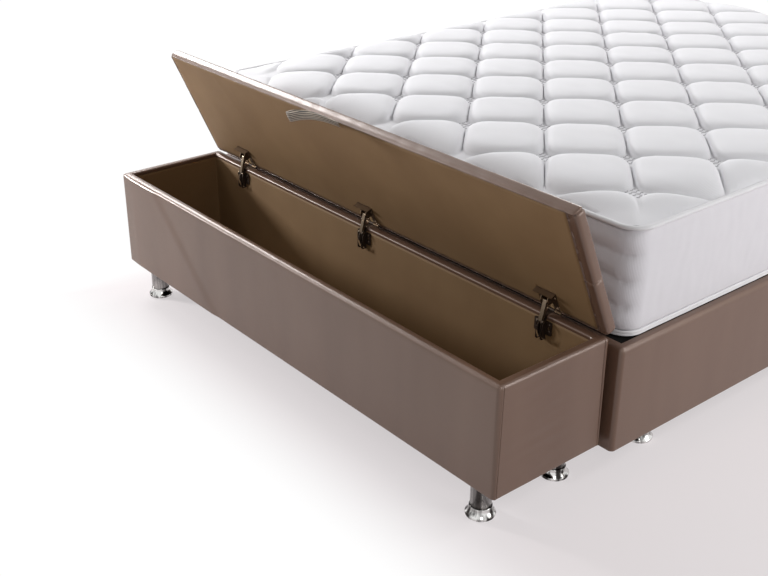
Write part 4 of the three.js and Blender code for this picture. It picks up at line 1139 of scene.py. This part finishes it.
def quilt_stitches():
    """Four short wavy threads side by side, along the bed, where the quilting's lines cross."""
    points, faces = [], []
    x0, x1, y0, y1 = MATTRESS
    for i in range(QUILT_ROWS[0], QUILT_ROWS[1] + 1):
        for j in range(QUILT_COLUMNS[0], QUILT_COLUMNS[1] + 1):
            cx, cy = (float(v) for v in quilt_place(np.float64(i), np.float64(j)))
            if min(cx - x0, x1 - cx, cy - y0, y1 - cy) > STITCH_FROM_EDGE:
                for row in STITCH_ROWS:
                    thread_along(stitch_line(cx, cy, row), points, faces)
    return make("quilt_stitches", points, faces, "thread", "bed", merge=0)


quilt_stitches()

# Floor, light and camera


def larger(tree, a, b):
    node = add(tree, "ShaderNodeMath", operation="MAXIMUM")
    tree.links.new(a, node.inputs[0])
    tree.links.new(b, node.inputs[1])
    return node.outputs["Value"]


def background_rays(tree):
    """1 for the rays that see the background: the camera's, and those through gloss or glass."""
    path = add(tree, "ShaderNodeLightPath")
    level = path.outputs["Is Camera Ray"]
    for kind in ("Is Glossy Ray", "Is Transmission Ray"):
        level = larger(tree, level, path.outputs[kind])
    return level


def mixed(tree, factor, a, b, output):
    mix = add(tree, "ShaderNodeMixShader")
    tree.links.new(factor, mix.inputs["Fac"])
    tree.links.new(a, mix.inputs[1])
    tree.links.new(b, mix.inputs[2])
    tree.links.new(mix.outputs["Shader"], output.inputs["Surface"])


def floor_material():
    """A pale floor whose glow is grey near the bed, as painted shade round it, and turns to white
    away from the bed, soonest in front and left.
    """
    made = material("floor", (228, 221, 222), 0.9)
    tree = made.node_tree
    shader = tree.nodes["Principled BSDF"]
    shader.inputs["Specular IOR Level"].default_value = 0.1
    place = add(tree, "ShaderNodeTexCoord")
    apart = add(tree, "ShaderNodeSeparateXYZ")
    tree.links.new(place.outputs["Object"], apart.inputs["Vector"])
    level = None
    for axis, near, far in FLOOR_GLOWS:
        side = add(tree, "ShaderNodeMapRange", interpolation_type="SMOOTHSTEP")
        side.inputs["From Min"].default_value = near
        side.inputs["From Max"].default_value = far
        tree.links.new(apart.outputs[axis], side.inputs["Value"])
        white = side.outputs["Result"]
        level = white if level is None else larger(tree, level, white)
    # Painted shade: grey glow near the bed, white further off
    shade = add(tree, "ShaderNodeMix", data_type="RGBA")
    shade.inputs["A"].default_value = FLOOR_PAINTED_SHADE
    shade.inputs["B"].default_value = FLOOR_WHITE
    share = add(tree, "ShaderNodeMapRange")
    share.inputs["To Min"].default_value = 0.6
    glow = add(tree, "ShaderNodeEmission")
    both = add(tree, "ShaderNodeMath", operation="MULTIPLY")
    tree.links.new(level, shade.inputs["Factor"])
    tree.links.new(shade.outputs["Result"], glow.inputs["Color"])
    tree.links.new(level, share.inputs["Value"])
    tree.links.new(background_rays(tree), both.inputs[0])
    tree.links.new(share.outputs["Result"], both.inputs[1])
    shaders = shader.outputs["BSDF"], glow.outputs["Emission"]
    mixed(tree, both.outputs["Value"], *shaders, tree.nodes["Material Output"])
    return made


def stage_floor():
    mesh = bpy.data.meshes.new("floor")
    corners = [(x * FLOOR_SIZE, y * FLOOR_SIZE, 0) for x, y in ((-1, -1), (1, -1), (1, 1), (-1, 1))]
    mesh.from_pydata(corners, [], [(0, 1, 2, 3)])
    mesh.materials.append(floor_material())
    add_object("floor", mesh)


def lamp(name, place, target, size, power):
    light = bpy.data.lights.new(name, "AREA")
    light.shape = "RECTANGLE"
    light.size, light.size_y = size
    light.energy = power
    obj = add_object(name, light)
    obj.location = place
    obj.rotation_euler = (Vector(target) - Vector(place)).to_track_quat("-Z", "Y").to_euler()


def world_light():
    """A soft light from all round, and white for what sees the background."""
    world = bpy.data.worlds.new("studio")
    world.use_nodes = True
    bpy.context.scene.world = world
    tree = world.node_tree
    soft, white = tree.nodes["Background"], add(tree, "ShaderNodeBackground")
    for node, strength in ((soft, WORLD_STRENGTH), (white, 1)):
        node.inputs["Color"].default_value = (1, 1, 1, 1)
        node.inputs["Strength"].default_value = strength
    shaders = soft.outputs["Background"], white.outputs["Background"]
    mixed(tree, background_rays(tree), *shaders, tree.nodes["World Output"])


def photo_camera():
    """The camera that the photograph's perspective gives."""
    along, across = math.cos(CAMERA_AZIMUTH), math.sin(CAMERA_AZIMUTH)
    level, fall = math.cos(CAMERA_ELEVATION), math.sin(CAMERA_ELEVATION)
    forward = Vector((-across * level, along * level, -fall))
    right = Vector((along, across, 0))
    down = forward.cross(right)
    c, s = math.cos(CAMERA_ROLL), math.sin(CAMERA_ROLL)
    turned_right = right * c - down * s
    turned_down = right * s + down * c
    turn = Matrix((turned_right, -turned_down, -forward)).transposed()
    camera = bpy.data.cameras.new("camera")
    camera.sensor_width = CAMERA_SENSOR
    camera.lens = CAMERA_FOCUS * CAMERA_SENSOR
    camera.clip_start, camera.clip_end = 0.05, 60
    obj = add_object("camera", camera)
    obj.matrix_world = Matrix.Translation(CAMERA_PLACE) @ turn.to_4x4()
    bpy.context.scene.camera = obj


stage_floor()
world_light()
for settings in LAMPS:
    lamp(*settings)
photo_camera()
bpy.context.scene.view_settings.view_transform = "Standard"
